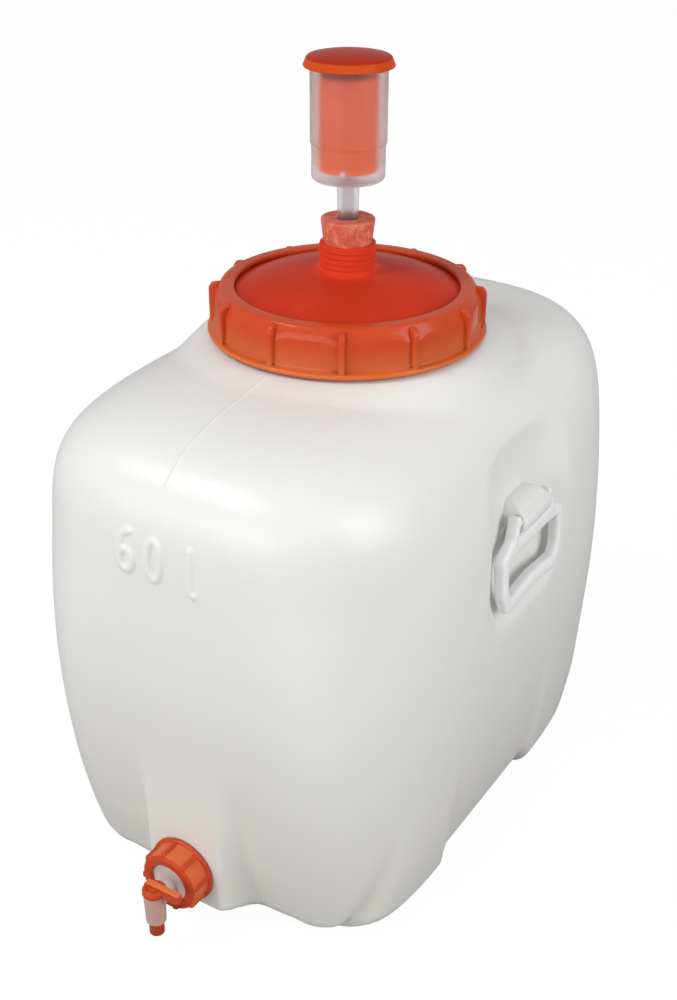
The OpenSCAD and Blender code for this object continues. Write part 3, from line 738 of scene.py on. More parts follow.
def crease(t, x, y, z):
    """Depth of the crease between each foot pad and the rounded end of the tank."""
    middle = FOOT_TO + 20 - 0.2 * z
    return CREASE_DEPTH * np.exp(-((np.abs(y) - middle) / CREASE_WIDTH) ** 2) * (1 - ease(z, 20, 130)) * (
        ease(np.abs(x), 0.5 * t.base_half_width, 0.8 * t.base_half_width))


def arch(t, x, y, z):
    """How far the underside is raised between the feet."""
    start = np.where(np.asarray(y) < 0, FOOT_FRONT_FROM, FOOT_FROM)
    pads = ease(np.abs(y), start - 5, start + 5)
    pads = pads * ease(np.abs(x), t.base_half_width - 68, t.base_half_width - 48)
    rise = 10 - 7 * ease(np.abs(y), 150, 200)
    return rise * (1 - ease(z, 10, 70)) * (1 - pads)


def boss(t, x, z):
    """Share of the flat boss behind the tap."""
    flank = np.where(x > 0, t.boss_half_width + 17, t.boss_half_width + 7)
    return (1 - ease(np.abs(x), t.boss_half_width - 5, flank)) * ease(z, 6, 26)


def corner_power(t, z):
    """How square the corners are at each height: squarest at the floor, with no kink between."""
    levels, powers = [0, t.belly / 2, t.belly * 1.2, t.crown], [5.65, 4.4, 3.17, 4.07]
    return sum(np.interp(z + shift, levels, powers) for shift in range(-32, 33, 4)) / 17


def skin(t, u, z, inset):
    """Points of the skin for columns at angles u and rows at heights z, each with its inset."""
    z, inset = z[:, None], inset[:, None]
    down = np.clip((t.belly - z) / t.belly, 0, 1)
    up = np.clip((z - t.belly) / (t.crown - t.belly), 0, 1)
    wide = np.where(z < t.belly, t.half_width - (t.half_width - t.base_half_width) * down ** 2.4,
                    t.half_width * (1 - up ** 3.07) ** (1 / 3.07)) - inset
    deep = np.where(z < t.belly, t.half_depth - (t.half_depth - t.base_half_depth) * down ** 1.92,
                    t.half_depth * (1 - up ** 5.0) ** (1 / 4.5)) - inset
    n = corner_power(t, z)
    c, s = np.cos(u)[None, :], np.sin(u)[None, :]
    k = (np.abs(c) ** n + np.abs(s) ** n) ** (-1 / n)
    x, y = wide * k * c, deep * k * s
    z = z + 0 * x
    side = ease(np.abs(x), 0.4 * t.half_width, 0.7 * t.half_width) * np.sign(x)
    dent = crease(t, x, y, z)
    x = x + side * (foot(t, x, y, z) - recess(t, y, z) - dent)
    y = y - 0.5 * dent * np.sign(y)
    proud = BOSS_FACE - y
    y = y + np.where((y < 0) & (z < 260), (proud - np.sqrt(proud ** 2 + 6)) / 2 * boss(t, x, z), 0)
    z = z + arch(t, x, y, z) + 0.5 * dent * (1 - ease(z, 10, 60))
    top = t.crown + COLLAR_RISE
    z = z + np.maximum(0, top - z) * (1 - ease(np.hypot(x, y), COLLAR_RADIUS, COLLAR_RADIUS + COLLAR_FADE)) * (up > 0)
    return np.stack([x, y, z], -1)


def crown_rows(t, u, start, count):
    """Rows from a height up to the collar's circle, even along each column's curve."""
    levels = start + (t.crown - start) * (1 - (1 - np.linspace(0, 1, 500)) ** 2.4)
    dense = skin(t, u, levels[:-1], np.zeros(499))
    rows = np.zeros((count, len(u), 3))
    for j in range(len(u)):
        line = dense[:, j]
        radius = np.hypot(line[:, 0], line[:, 1])
        stop = int(np.argmax(radius < COLLAR_RADIUS))
        share = (radius[stop - 1] - COLLAR_RADIUS) / (radius[stop - 1] - radius[stop])
        line = np.vstack([line[:stop], line[stop - 1] + share * (line[stop] - line[stop - 1])])
        along = np.concatenate([[0], np.cumsum(np.linalg.norm(np.diff(line, axis=0), axis=1))])
        for axis in range(3):
            rows[:, j, axis] = np.interp(np.linspace(0, along[-1], count + 1)[1:], along, line[:, axis])
    return rows


def arc_points(x, z, rx, rz, start, end, steps=16):
    """Points of an ellipse's arc, angles in degrees."""
    turns = np.radians(np.linspace(start, end, steps))
    return [(x + rx * math.cos(a), z + rz * math.sin(a)) for a in turns]


def figure_strokes():
    """Centre lines of the capacity figures: a six, a nought and the sign for litres."""
    six = arc_points(-23.4, 345.5, 9.2, 14.9, 92, 196) + arc_points(-27.0, 337.6, 5.7, 7.8, 180, 540, 32)
    nought = arc_points(-2.4, 343.5, 5.8, 15.0, 90, 450, 40)
    litre = [(28.0, 360.0), (28.6, 329.5), (29.4, 326.8), (31.4, 326.2)]
    return [six, nought, litre]


def figure_height(t, points):
    """Height of the moulded figures over the skin at each point."""
    flat = points.reshape(-1, 3)
    near = np.full(len(flat), 99.0)
    region = (flat[:, 1] < 0) & (np.abs(flat[:, 0]) < 45) & (np.abs(flat[:, 2] - 344) < 30)
    spots = flat[region][:, [0, 2]]
    best = np.full(len(spots), 99.0)
    for stroke in figure_strokes():
        for a, b in zip(stroke[:-1], stroke[1:]):
            a, d = np.array(a), np.array(b) - np.array(a)
            along = np.clip((spots - a) @ d / (d @ d), 0, 1)
            best = np.minimum(best, np.linalg.norm(spots - a - along[:, None] * d, axis=1))
    near[region] = best
    return (t.numeral_relief * (1 - ease(near, 0.9, 4.0))).reshape(points.shape[:2])


def grid_normals(rows):
    """Outward unit normals of a grid of rows that close round."""
    along = np.gradient(rows, axis=0)
    across = np.roll(rows, -1, axis=1) - np.roll(rows, 1, axis=1)
    normal = np.cross(across, along)
    return normal / np.maximum(np.linalg.norm(normal, axis=-1, keepdims=True), 1e-9)


def tank_shell(t):
    """The blow-moulded shell: outer skin, neck and inner skin as one closed surface."""
    fine = np.radians(np.linspace(255.5, 284.5, 73))
    coarse = np.radians(np.linspace(284.5, 615.5, 258)[1:-1])
    u = np.sort(np.concatenate([fine, coarse, np.radians([450 - 0.4, 450 + 0.4])]))
    heights = np.concatenate([np.arange(27, 42, 3), np.arange(44, FIGURES_LOW, 4),
                              np.arange(FIGURES_LOW, FIGURES_HIGH, 1.4)])
    turn = np.radians(np.arange(0, 91, 7.5))
    z = np.concatenate([t.edge_radius * (1 - np.cos(turn)), heights])
    inset = np.concatenate([t.edge_radius * (1 - np.sin(turn)), 0 * heights])
    side = skin(t, u, z, inset)
    base = []
    for share in (0.2, 0.4, 0.52, 0.62, 0.72, 0.82, 0.91, 0.97):
        ring = side[0] * share
        ring[:, 2] = arch(t, ring[:, 0], ring[:, 1], 0 * ring[:, 0])
        base.append(ring)
    outer = np.concatenate([np.array(base), side, crown_rows(t, u, heights[-1], 64)])
    normals = grid_normals(outer)
    inner = (outer - t.wall * normals)[::-4]
    relief = figure_height(t, outer)
    seam = np.minimum(np.abs((u - math.radians(270) + math.pi) % (2 * math.pi) - math.pi),
                      np.abs((u - math.radians(90) + math.pi) % (2 * math.pi) - math.pi))
    relief += t.seam_relief * (1 - ease(seam, 0, math.radians(0.45)))[None, :] * ease(outer[:, :, 2], 386, 402)
    x, y, h = outer[:, :, 0], outer[:, :, 1], outer[:, :, 2]
    relief += 0.22 * np.sin(x / 21 + 1) * np.sin(y / 33 + h / 61) * ease(h, 20, 60) * (1 - ease(h, 400, 425))
    outer = outer + relief[:, :, None] * normals
    swing = np.arctan2(outer[-1, :, 1], outer[-1, :, 0])
    rim = high("neck").z
    r = t.neck_radius
    bore = r - t.neck_wall
    top = t.crown + COLLAR_RISE
    neck = [(r + 5.5, top + 0.3), (r + 2.5, top + 1.5), (r + 0.7, top + 4), (r, top + 7), (r, rim - 10), (r, rim - 1.5),
            (r - 1.5, rim), (bore + 1.5, rim), (bore, rim - 1.5), (bore, rim - 15), (bore, t.crown + 1)]
    rings = [np.stack([q * np.cos(swing), q * np.sin(swing), 0 * swing + w], -1) for q, w in neck]
    rows = [*outer, *rings, *inner]
    count = len(u)
    points = [tuple(p) for row in rows for p in row]
    ends = len(points)
    points += [(0, 0, arch(t, 0.0, 0.0, 0.0)), (0, 0, arch(t, 0.0, 0.0, 0.0) + t.wall)]
    faces = []
    for i in range(len(rows) - 1):
        for j in range(count):
            k = (j + 1) % count
            faces.append((i * count + j, i * count + k, (i + 1) * count + k, (i + 1) * count + j))
    last = (len(rows) - 1) * count
    for j in range(count):
        k = (j + 1) % count
        faces += [(ends, k, j), (ends + 1, last + j, last + k)]
    return mesh_object("tank_shell", points, faces, on_axis())


def lug_rings(t):
    """Rings of the soft-edged block that holds a handle, from its nose up."""
    floor = t.half_width - t.recess - 2
    nose = HINGE_X + 8.4
    low = HINGE_Z - 8.4
    levels = [(0, -2.6, 2.4), (0.5, -1.2, 1.2), (1.6, -0.3, 0.4), (3.4, 0, 0), (8, 0.2, 0), (11.2, -0.4, 0.2),
              (12.8, -2.0, 0.8), (14.4, -4.0, 1.4), (16.2, -5.4, 2.2), (18, -7.0, 3.4), (19.6, -9.2, 4.8), (21, -12.2, 6.6),
              (22, -15.4, 8.6), (22.6, -18.6, 10.6)]
    rings = []
    for up, out, tuck in levels:
        front = nose + out
        left, right = -24.5 + tuck * 0.7, 24.0 - tuck * 1.6
        outline = rounded([(floor, left, 0), (front - 0.6, left, 3.2), (front, 0.5 * (left + right), 0),
                           (front - 0.4, right, 3.6), (floor, right, 0)], 5)
        tilt = [(low + up + 0.03 * (y + 24) + 1.5 * math.exp(-((y + 14) / 6) ** 2) * (up < 8)) for x, y in outline]
        rings.append([(x, y, h) for (x, y), h in zip(outline, tilt)])
    return rings


def build_tank():
    """The tank with its neck, thread, stub seat and lugs as one moulding."""
    t = bpy.context.scene.tank_sizes
    shell = tank_shell(t)
    cut(shell, lathe("drain_hole", [(0, -9), (13, -9), (13, 3), (0, 3)], on_boss(), 64))
    parts = [shell]
    for side in (1, -1):
        flip = on_axis() if side > 0 else on_axis() @ Matrix.Rotation(math.pi, 4, "Z")
        block = section_rod("lug_block", lug_rings(t), flip)
        along = Matrix.Translation((side * HINGE_X * MM, AXIS_Y * MM, HINGE_Z * MM)) @ Matrix.Rotation(math.pi / 2, 4, "X")
        cut(block, lathe("lug_bore", [(0, -40), (5.4, -40), (5.4, 40), (0, 40)], along, 40))
        parts.append(block)
    parts.append(thread("neck_thread", t.neck_radius, 10, 1.5, 3.6, 2.0, high("neck").z - 17.5,
                        finish(milky_plastic), on_axis()))
    return settle(joined("tank_moulding", *parts), "tank", "tank", milky_plastic,
                  "tank", "neck", "lug_right", "lug_left", angle=40)


# ---------- handles ----------


def ray_length(outline, centre, angle):
    """Distance from a centre to a closed outline at an angle."""
    d = Vector((math.cos(angle), math.sin(angle)))
    best = 0.0
    for i, a in enumerate(outline):
        a = Vector(a) - centre
        e = Vector(outline[(i + 1) % len(outline)]) - centre - a
        bottom = d.x * e.y - d.y * e.x
        if abs(bottom) < 1e-9:
            continue
        t = (a.x * e.y - a.y * e.x) / bottom
        s = (a.x * d.y - a.y * d.x) / bottom
        if t > 0 and -1e-6 <= s <= 1 + 1e-6:
            best = max(best, t)
    return best


def squared(count, power=3.4):
    """Points of a rounded square between -1 and 1."""
    out = []
    for i in range(count):
        a = 2 * math.pi * (i + 0.5) / count
        c, s = math.cos(a), math.sin(a)
        out.append((math.copysign(abs(c) ** (2 / power), c), math.copysign(abs(s) ** (2 / power), s)))
    return out


def handle_loop(f):
    """Outer and inner outline of a handle in its plane, across and up from the hinge."""
    wide, low = f.handle_half_width, -f.handle_drop
    corner = wide - 7
    inner = wide - 10.5

    def bowed(half, base):
        return [(x, base + 4 * math.cos(math.pi * x / 2 / corner) ** 2, 0)
                for x in np.linspace(half, -half, 13)]

    outer = rounded([(30, -10.5, 3), (36, -8.5, 4), (wide - 2, -18.5, 6), (wide, -23, 8), (wide, low + 19, 12),
                     (corner, low + 2, 6)] + bowed(corner - 9, low) +
                    [(-corner, low + 2, 6), (-wide, low + 19, 12), (-wide, -23, 8), (2 - wide, -18.5, 6),
                     (-36, -8.5, 4), (-30, -10.5, 3)])
    hole = rounded([(inner - 4, -24, 3), (inner, -29, 5), (inner, low + 23, 6)] + bowed(corner - 9, low + 13.2) +
                   [(-inner, low + 23, 6), (-inner, -29, 5), (4 - inner, -24, 3)])
    return outer, hole


def build_handle(side):
    """One swinging handle with its eyes and hinge bar."""
    f = bpy.context.scene.fitting_sizes
    outer, hole = handle_loop(f)
    centre = Vector((0, -42))
    half = f.handle_depth / 2
    section = squared(24)
    rings = []
    for i in range(180):
        a = 2 * math.pi * i / 180
        far, near = ray_length(outer, centre, a), ray_length(hole, centre, a)
        middle, reach = (far + near) / 2, (far - near) / 2
        rings.append([(half * q, centre.x + (middle + reach * p) * math.cos(a), centre.y + (middle + reach * p) * math.sin(a))
                      for p, q in section])
    loop = section_loop("loop", rings)
    parts = [loop]
    for way in (1, -1):
        ear = [(34.5, -16, 5.0), (33.0, -11, 4.6), (31.4, -7, 4.1), (29.6, -3, 3.6), (28.4, 1, 3.4), (28, 4, 3.0),
               (27.9, 6, 2.0), (27.9, 6.6, 0.9)]
        rings = [[(half * q * min(1, (n + 2.4) / 5), way * (x + n * p), z) for p, q in section] for x, z, n in ear]
        parts.append(section_rod("eye", rings))
    bar = lathe("bar", rounded([(0, -30, 0), (5, -30, 1), (5, 30, 1), (0, 30, 0)], 3), Matrix.Rotation(math.pi / 2, 4, "X"), 48)
    lean = Matrix.Rotation(math.radians(-3), 4, "Y")
    for p in parts:
        p.data.transform(lean)
    name = "handle_right" if side > 0 else "handle_left"
    piece = joined(name + "_grip", *parts, bar)
    turn = Matrix.Identity(4) if side > 0 else Matrix.Rotation(math.pi, 4, "Z")
    piece.data.transform(Matrix.Translation((side * HINGE_X * MM, AXIS_Y * MM, HINGE_Z * MM)) @ turn)
    return settle(piece, name, name, white_plastic, name, angle=45)


# ---------- lid ----------


def build_ring():
    """The screw ring with its ribs, lip and inner thread."""
    f = bpy.context.scene.fitting_sizes
    low_z, top_z = low("lid_ring").z, high("lid_ring").z
    inside, wall, flange = 99.8, 103.4, high("lid_ring").x
    opening = 88.2
    outline = rounded([
        (inside, low_z, 0.5), (flange, low_z, 1.2), (flange, low_z + 3.2, 1.3), (wall + 1.8, low_z + 4.2, 0.8),
        (wall + 1.4, low_z + 6.2, 0.8), (wall, low_z + 7.2, 0.6), (wall, top_z - 9.4, 3), (wall - 1.4, top_z - 5.4, 1.2),
        (wall - 4.2, top_z - 0.9, 2.4), (wall - 6.6, top_z, 1.2), (opening + 1.4, top_z, 1.2), (opening, top_z - 1.2, 0.8),
        (opening, top_z - 3.8, 0.4), (inside, top_z - 3.8, 0.6)], 4)
    first = math.radians(29.3)

    def arched(a, r, z):
        part = 2 * math.pi / f.ring_ribs
        off = abs((a - first + part / 2) % part - part / 2)
        near = 1 - ease(off, math.radians(1.6), math.radians(8))
        on_wall = r > wall - 1.6 and low_z + 6 < z < top_z - 4.5
        return (1.5 * near * on_wall, -3.0 * near * on_wall * (z > top_z - 11))

    ring = lathe("ring", outline, on_axis(), 360, wave=arched)
    rib = prism("ribs", rounded([
        (wall - 1.6, low_z + 1, 0), (flange - 1.1, low_z + 1, 0), (flange - 1.1, top_z - 6.2, 3.6),
        (flange - 3.8, top_z - 2.4, 2.6), (wall - 3.6, top_z - 1.4, 0), (wall - 4, top_z - 8, 0)], 5), 4.6,
        Matrix.Rotation(math.pi / 2, 4, "X"), 1.6)
    by_tree(rib, tree_of("Copies round an axis", round_tree), {
        "Count": f.ring_ribs, "First angle": first, "Material": finish(orange_plastic)}, on_axis())
    groove = thread("ring_thread", inside - 0.2, 10, 1.5, 3.0, 1.8, low_z + 3, finish(orange_plastic), on_axis())
    return settle(joined("screw_ring", ring, rib, groove), "ring", "lid_ring", orange_plastic, "lid_ring", angle=38)


def build_plate():
    """The domed lid plate with its threaded spout."""
    f = bpy.context.scene.fitting_sizes
    seat = high("lid_seal").z
    rim, edge, dome, thick = 98.8, 87.2, 16, 3.5
    spout, bore, top = 21.7, 18.7, high("lid_plate").z

    def rise(r):
        return dome * (1 - (r / edge) ** 2.6)

    over = [(r, seat + thick + rise(r)) for r in np.linspace(edge, 24.6, 40)]
    under = [(r, seat + rise(r)) for r in np.linspace(bore, edge, 40)]
    ledge = seat + thick + dome + 1.6
    outline = [(rim, seat + 0.4), (rim, seat + thick - 0.5), (rim - 0.5, seat + thick)] + over + rounded([
        (23.6, ledge - 2.2, 0.8), (22.9, ledge - 0.4, 0.5), (22.4, ledge, 0.4), (spout, ledge + 0.5, 0.4),
        (spout, top - 0.6, 0.5), (spout - 0.7, top, 0.4), (bore + 0.6, top, 0.4), (bore, top - 0.6, 0.4)], 3) + under
    plate = lathe("plate", outline, on_axis(), 160)
    winding = thread("spout_thread", spout, 4.3, f.thread_turns, 0.6, 1.0, ledge + 1.9, finish(red_plastic), on_axis())
    return settle(joined("domed_plate", plate, winding), "lid", "lid_plate", red_plastic, "lid_plate", angle=38)


def build_bung():
    """The tapered rubber bung."""
    foot_z, top = low("bung").z, high("bung").z
    slope = (21 - 18.6) / 18.5
    body = lathe("rubber_bung", rounded([
        (8, foot_z, 0.4), (21 - slope * (top - foot_z), foot_z, 1.2), (21, top - 1.2, 1.2), (20.4, top, 0.9),
        (8.4, top, 0.5), (8, top - 0.5, 0)], 5), on_axis(), 128,
        wave=lambda a, r, z: (0.10 * math.sin(5 * a + z / 4) * (r > 12), 0))
    return settle(body, "bung", "bung", salmon_rubber, "bung", angle=40)


# ---------- airlock ----------


def build_cup():
    """The clear cup with its stem and chimney."""
    foot_z, top = low("airlock_cup").z, high("airlock_cup").z
    floor = top - 84
    bung_top = high("bung").z
    chimney = high("airlock_bell").z - 1.9
    outline = rounded([
        (4.5, foot_z, 0.3), (7.9, foot_z, 0.8), (7.92, bung_top + 0.5, 0.2), (8.75, floor - 2, 2), (12, floor, 2),
        (26.0, floor, 1.5), (27.8, floor + 2.2, 1.2), (27.8, floor + 25.8, 0.8), (28.8, floor + 27.6, 0.8),
        (28.8, top, 0.8), (27.1, top, 0.6), (27.1, floor + 28.4, 0.8), (26.1, floor + 26.6, 0.8),
        (26.1, floor + 2.6, 1.5), (7.4, floor + 2.4, 1.2), (6.9, chimney, 0.5), (4.5, chimney, 0.5)], 4)
    cup = lathe("clear_cup", outline, on_axis(), 128)
    return settle(cup, "airlock", "airlock_cup", frosted_plastic, "airlock_cup", angle=40)


def build_bell():
    """The inverted bell that floats over the chimney."""
    foot_z, top = low("airlock_bell").z, high("airlock_bell").z
    bell = lathe("floating_bell", rounded([
        (22.5, foot_z, 0.5), (22.4, foot_z + 12, 0), (22.2, top - 1.4, 1.4), (20.4, top, 1.2), (0, top, 0),
        (0, top - 1.6, 0), (20.4, top - 1.8, 1), (20.8, foot_z + 12, 0), (20.9, foot_z, 0.4)], 5), on_axis(), 128)
    for a in (-70, 110):
        tooth = prism("tooth", rounded([(-2.5, -3, 0), (2.5, -3, 0), (2.2, 4, 1.4), (-2.2, 4, 1.4)], 4), 10, None)
        spin = Matrix.Rotation(math.radians(a + 90), 4, "Z")
        tooth.data.transform(on_axis() @ spin @ Matrix.Translation((0, -21 * MM, foot_z * MM)) @
                             Matrix.Rotation(math.pi / 2, 4, "X"))
        cut(bell, tooth)
    return settle(bell, "bell", "airlock_bell", bell_plastic, "airlock_bell", angle=36)


def build_cap():
    """The airlock's cap: a shallow dome over a flared brim."""
    brim, top = low("airlock_cap").z, high("airlock_cap").z
    seat = brim + 1.9
    def dome(r):
        return top - 3.1 * (r / 30.6) ** 2.4

    outline = rounded([
        (0, seat, 0), (23.8, seat, 0.3), (23.8, seat - 1.5, 0.3), (25.6, seat - 1.5, 0.3), (25.6, seat, 0.3),
        (29.4, seat, 0.4), (29.6, brim, 0.4), (33.3, brim, 0.5), (33.85, brim + 0.8, 0.5), (31.5, brim + 6.4, 1.6),
        (30.2, dome(30.2), 1.4), (28.6, dome(28.6), 0)], 5)
    outline += [(r, dome(r)) for r in np.linspace(27.4, 0, 22)]
    cap = lathe("airlock_cover", outline, on_axis(), 144)
    return settle(cap, "cap", "airlock_cap", red_plastic, "airlock_cap", angle=34)


# ---------- tap ----------


def build_nut():
    """The tap's nut with its flange, ribs and window."""
    f = bpy.context.scene.fitting_sizes
    inside, wall, flange, window, front = 23, 25, 28.7, 16.4, 21.5
    body = lathe("nut", rounded([
        (inside, 0.6, 0.3), (flange, 0.6, 0.8), (flange, 2.6, 0.8), (flange - 1.4, 3.6, 0.8), (wall + 0.2, 4.2, 0.8),
        (wall, front - 2.2, 0.4), (wall - 2, front, 1.6), (window + 0.8, front, 0.8), (window, front - 1, 0.4),
        (window, front - 2.8, 0.3), (inside, front - 2.8, 0.4)], 4), on_boss(), 128)
    rib = prism("nut_ribs", rounded([
        (wall - 1, 1.4, 0), (flange - 0.8, 1.4, 0), (flange - 1.0, 3.4, 1), (wall + 2.3, 4.6, 1.5),
        (wall + 2.3, front - 3, 1.8), (wall + 0.6, front - 0.7, 1.6), (wall - 2.4, front - 0.5, 0)], 4), 3.4,
        Matrix.Rotation(math.pi / 2, 4, "X"), 0.9)
    by_tree(rib, tree_of("Copies round an axis", round_tree), {
        "Count": f.nut_ribs, "First angle": math.radians(10), "Material": finish(tap_plastic)}, on_boss())
    groove = thread("nut_thread", inside, 4, 1.5, 1.6, 0.8, 6.5, finish(tap_plastic), on_boss())
    return settle(joined("ribbed_nut", body, rib, groove), "nut", "tap_nut", tap_plastic, "tap_nut", angle=38)


def build_plug():
    """The turning plug with its hub, wing lever and outlet tip."""
    low_z, top = low("tap_plug").z, high("tap_plug").z
    hub = top - 10
    rings = [(low("tap_o_ring_lower").z + high("tap_o_ring_lower").z) / 2,
             (low("tap_o_ring_upper").z + high("tap_o_ring_upper").z) / 2]
    shaft = []
    for z in rings:
        shaft += [(6.5, z - 0.75), (5.2, z - 0.75), (5.2, z + 0.75), (6.5, z + 0.75)]
    outline = [(4, low_z), (5.5, low_z), (5.9, low_z + 0.3), (6, low_z + 0.9), (6, low_z + 12.8), (6.5, low_z + 13)] + shaft + \
        rounded([(6.5, hub, 0), (9.5, hub, 0.6), (9.5, hub + 4, 1.2), (5.8, hub + 7.8, 2.4)], 5) + \
        [(0, hub + 8.3), (0, low_z + 35), (4, low_z + 35)]
    body = lathe("shaft", outline, on_spout(), 72)
    wing = prism("wing", rounded([
        (-8, hub + 1, 0), (-8.2, top - 3, 1.5), (-6.2, top, 1.8), (24, top, 1.0), (25, top - 1.4, 0.8), (25, hub + 1.4, 1.8),
        (20, hub - 0.4, 3), (12, hub + 0.2, 2)], 5), 5, on_spout() @ Matrix.Rotation(math.pi / 2, 4, "X"), 0.9)
    return settle(joined("plug_and_wing", body, wing), "plug", "tap_plug", tap_plastic, "tap_plug", angle=38)


def dress_nodes():
    """Gives the CAD solids that stay as they are their finishes."""
    makers = {"stub": milky_plastic, "lid_seal": pale_seal, "tap_seal": black_rubber, "tap_body": sleeve_plastic,
              "tap_o_ring_upper": black_rubber, "tap_o_ring_lower": black_rubber}
    for node, make in makers.items():
        obj = frame["nodes"][node]
        if not obj.material_slots:
            obj.data.materials.append(finish(make))
        for place in obj.material_slots:
            place.material = finish(make)
    return makers


# ---------- stage ----------


def build_floor():
    """A pale floor that stays white to the camera and still takes the tank's shadow."""
    size = 6.0
    mesh = bpy.data.meshes.new("floor")
    mesh.from_pydata([(-size, -size, 0), (size, -size, 0), (size, size, 0), (-size, size, 0)], [], [(0, 1, 2, 3)])
    floor = bpy.data.objects.new("floor", mesh)
    bpy.context.scene.collection.objects.link(floor)
    material = bpy.data.materials.new("floor")
    material.use_nodes = True
    tree = material.node_tree
    tree.nodes.clear()
    path = tree.nodes.new("ShaderNodeLightPath")
    matt = tree.nodes.new("ShaderNodeBsdfDiffuse")
    matt.inputs["Color"].default_value = (0.36, 0.36, 0.36, 1)
    white = tree.nodes.new("ShaderNodeEmission")
    white.inputs["Strength"].default_value = 1.16
    seen = tree.nodes.new("ShaderNodeMath")
    seen.operation = "MAXIMUM"
    tree.links.new(path.outputs["Is Camera Ray"], seen.inputs[0])
    tree.links.new(path.outputs["Is Transmission Ray"], seen.inputs[1])
    share = tree.nodes.new("ShaderNodeMath")
    share.operation = "MULTIPLY"
    share.inputs[1].default_value = 0.82
    tree.links.new(seen.outputs[0], share.inputs[0])
    mix = tree.nodes.new("ShaderNodeMixShader")
    tree.links.new(share.outputs[0], mix.inputs[0])
    tree.links.new(matt.outputs[0], mix.inputs[1])
    tree.links.new(white.outputs[0], mix.inputs[2])
    out = tree.nodes.new("ShaderNodeOutputMaterial")
    tree.links.new(mix.outputs[0], out.inputs["Surface"])
    mesh.materials.append(material)
    return floor


def build_world():
    """White where the camera looks past the tank, softer for the light that falls on it."""
    world = bpy.data.worlds.new("studio")
    bpy.context.scene.world = world
    world.use_nodes = True
    tree = world.node_tree
    tree.nodes.clear()
    path = tree.nodes.new("ShaderNodeLightPath")
    seen = tree.nodes.new("ShaderNodeMath")
    seen.operation = "MAXIMUM"
    tree.links.new(path.outputs["Is Camera Ray"], seen.inputs[0])
    tree.links.new(path.outputs["Is Transmission Ray"], seen.inputs[1])
    soft = tree.nodes.new("ShaderNodeBackground")
    soft.inputs["Color"].default_value = (0.95, 0.97, 1.0, 1)
    soft.inputs["Strength"].default_value = 0.45
    bright = tree.nodes.new("ShaderNodeBackground")
    bright.inputs["Color"].default_value = (1, 1, 1, 1)
    bright.inputs["Strength"].default_value = 1.0
    mix = tree.nodes.new("ShaderNodeMixShader")
    tree.links.new(seen.outputs[0], mix.inputs[0])
    tree.links.new(soft.outputs[0], mix.inputs[1])
    tree.links.new(bright.outputs[0], mix.inputs[2])
    out = tree.nodes.new("ShaderNodeOutputWorld")
    tree.links.new(mix.outputs[0], out.inputs["Surface"])


def build_light(name, place, aim, size, energy):
    """A soft area light."""
    data = bpy.data.lights.new(name, "AREA")
    data.shape, data.size, data.size_y, data.energy = "RECTANGLE", size[0], size[1], energy
    light = bpy.data.objects.new(name, data)
    bpy.context.scene.collection.objects.link(light)
    light.visible_camera = False
    light.matrix_world = Matrix.Translation(place) @ (Vector(aim) - Vector(place)).to_track_quat("-Z", "Y").to_matrix().to_4x4()
    return light


def build_camera():
    """The camera at the photograph's viewpoint."""
    v = bpy.context.scene.photo_view
    az, el = math.radians(v.azimuth), math.radians(v.elevation)
    back = Vector((math.sin(az) * math.cos(el), -math.cos(az) * math.cos(el), math.sin(el)))
    eye = Vector((0, 0.86 + AXIS_Y, v.aim_height)) + back * v.distance
    fwd = -back
    right = fwd.cross(Vector((0, 0, 1))).normalized()
    up = right.cross(fwd)
    yaw, pitch, roll = (math.radians(a) for a in (v.yaw, v.pitch, v.roll))
    fwd, right = fwd * math.cos(yaw) + right * math.sin(yaw), right * math.cos(yaw) - fwd * math.sin(yaw)
    fwd, up = fwd * math.cos(pitch) + up * math.sin(pitch), up * math.cos(pitch) - fwd * math.sin(pitch)
    right, up = right * math.cos(roll) + up * math.sin(roll), up * math.cos(roll) - right * math.sin(roll)
    data = bpy.data.cameras.new("camera")
    data.lens, data.sensor_width, data.sensor_fit = v.focal, 36.0, "AUTO"
    camera = bpy.data.objects.new("camera", data)
    bpy.context.scene.collection.objects.link(camera)
    axes = Matrix((right, up, -fwd)).transposed().to_4x4()
    camera.matrix_world = Matrix.Translation(eye * MM) @ axes
    bpy.context.scene.camera = camera
    return camera


def build_stage():
    """Floor, background, lights and camera."""
    bpy.context.scene.view_settings.view_transform = "Standard"
    build_floor()
    build_world()
    build_light("key", (-1.4, -1.9, 3.1), (0, 0, 0.3), (1.0, 0.8), 46)
    build_light("front", (-0.5, -3.0, 0.85), (0, 0, 0.25), (3.2, 1.6), 42)
    build_light("side", (2.6, 0.0, 1.3), (0, 0, 0.3), (1.4, 1.8), 40)
    return build_camera()


# ---------- add-on ----------


class TANK_OT_body(bpy.types.Operator):
    """Build the moulded tank with its neck, thread and handle lugs"""
    bl_idname = "tank.body"
    bl_label = "Build tank"
    bl_options = {"REGISTER", "UNDO"}

    def execute(self, context):
        return done(build_tank(), dress_nodes())


class TANK_OT_handles(bpy.types.Operator):
    """Build the two swinging handles"""
    bl_idname = "tank.handles"
    bl_label = "Build handles"
    bl_options = {"REGISTER", "UNDO"}

    def execute(self, context):
        return done(build_handle(1), build_handle(-1))


class TANK_OT_lid(bpy.types.Operator):
    """Build the screw ring, the lid plate and the bung"""
    bl_idname = "tank.lid"
    bl_label = "Build lid"
    bl_options = {"REGISTER", "UNDO"}

    def execute(self, context):
        return done(build_ring(), build_plate(), build_bung())


class TANK_OT_airlock(bpy.types.Operator):
    """Build the airlock's cup, bell and cap"""
    bl_idname = "tank.airlock"
    bl_label = "Build airlock"
    bl_options = {"REGISTER", "UNDO"}

    def execute(self, context):
        return done(build_cup(), build_bell(), build_cap())


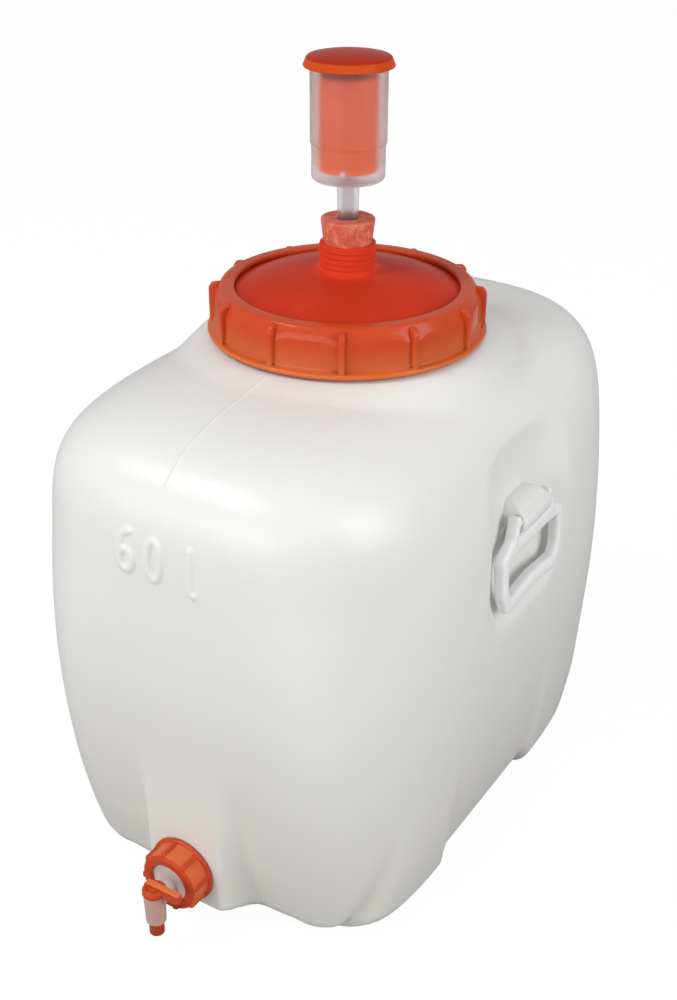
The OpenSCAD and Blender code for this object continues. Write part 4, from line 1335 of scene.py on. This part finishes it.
class TANK_OT_tap(bpy.types.Operator):
    """Build the tap's nut and its turning plug"""
    bl_idname = "tank.tap"
    bl_label = "Build tap"
    bl_options = {"REGISTER", "UNDO"}

    def execute(self, context):
        return done(build_nut(), build_plug())


class TANK_OT_stage(bpy.types.Operator):
    """Build the floor, the background, the lights and the camera"""
    bl_idname = "tank.stage"
    bl_label = "Build stage"
    bl_options = {"REGISTER", "UNDO"}

    def execute(self, context):
        return done(build_stage())


def done(*made):
    """Ends an operator, with an error if a step made nothing."""
    if any(m is None or (hasattr(m, "type") and m.type == "MESH" and not m.data.polygons) for m in made):
        raise RuntimeError("a building step made nothing")
    return {"FINISHED"}


class TANK_PT_panel(bpy.types.Panel):
    """Sizes, colours and building steps of the tank"""
    bl_idname = "TANK_PT_panel"
    bl_label = "Fermentation tank"
    bl_space_type = "VIEW_3D"
    bl_region_type = "UI"
    bl_category = "Tank"

    def draw(self, context):
        for group in SETTINGS:
            box = self.layout.box()
            for key in group[1].__annotations__:
                box.prop(getattr(context.scene, group[0]), key)
        for step in STEPS:
            self.layout.operator(step.bl_idname)


SETTINGS = (("tank_sizes", TankSizes), ("fitting_sizes", FittingSizes), ("tank_colours", Colours), ("photo_view", PhotoView))
STEPS = (TANK_OT_body, TANK_OT_handles, TANK_OT_lid, TANK_OT_airlock, TANK_OT_tap, TANK_OT_stage)


def register():
    for cls in (*(group for _, group in SETTINGS), *STEPS, TANK_PT_panel):
        bpy.utils.register_class(cls)
    for name, group in SETTINGS:
        setattr(bpy.types.Scene, name, PointerProperty(type=group))


def unregister():
    for name, _ in SETTINGS:
        delattr(bpy.types.Scene, name)
    for cls in reversed((*(group for _, group in SETTINGS), *STEPS, TANK_PT_panel)):
        bpy.utils.unregister_class(cls)


def main():
    register()
    bpy.ops.tank.body()
    bpy.ops.tank.handles()
    bpy.ops.tank.lid()
    bpy.ops.tank.airlock()
    bpy.ops.tank.tap()
    bpy.ops.tank.stage()


if __name__ == "__main__":
    main()
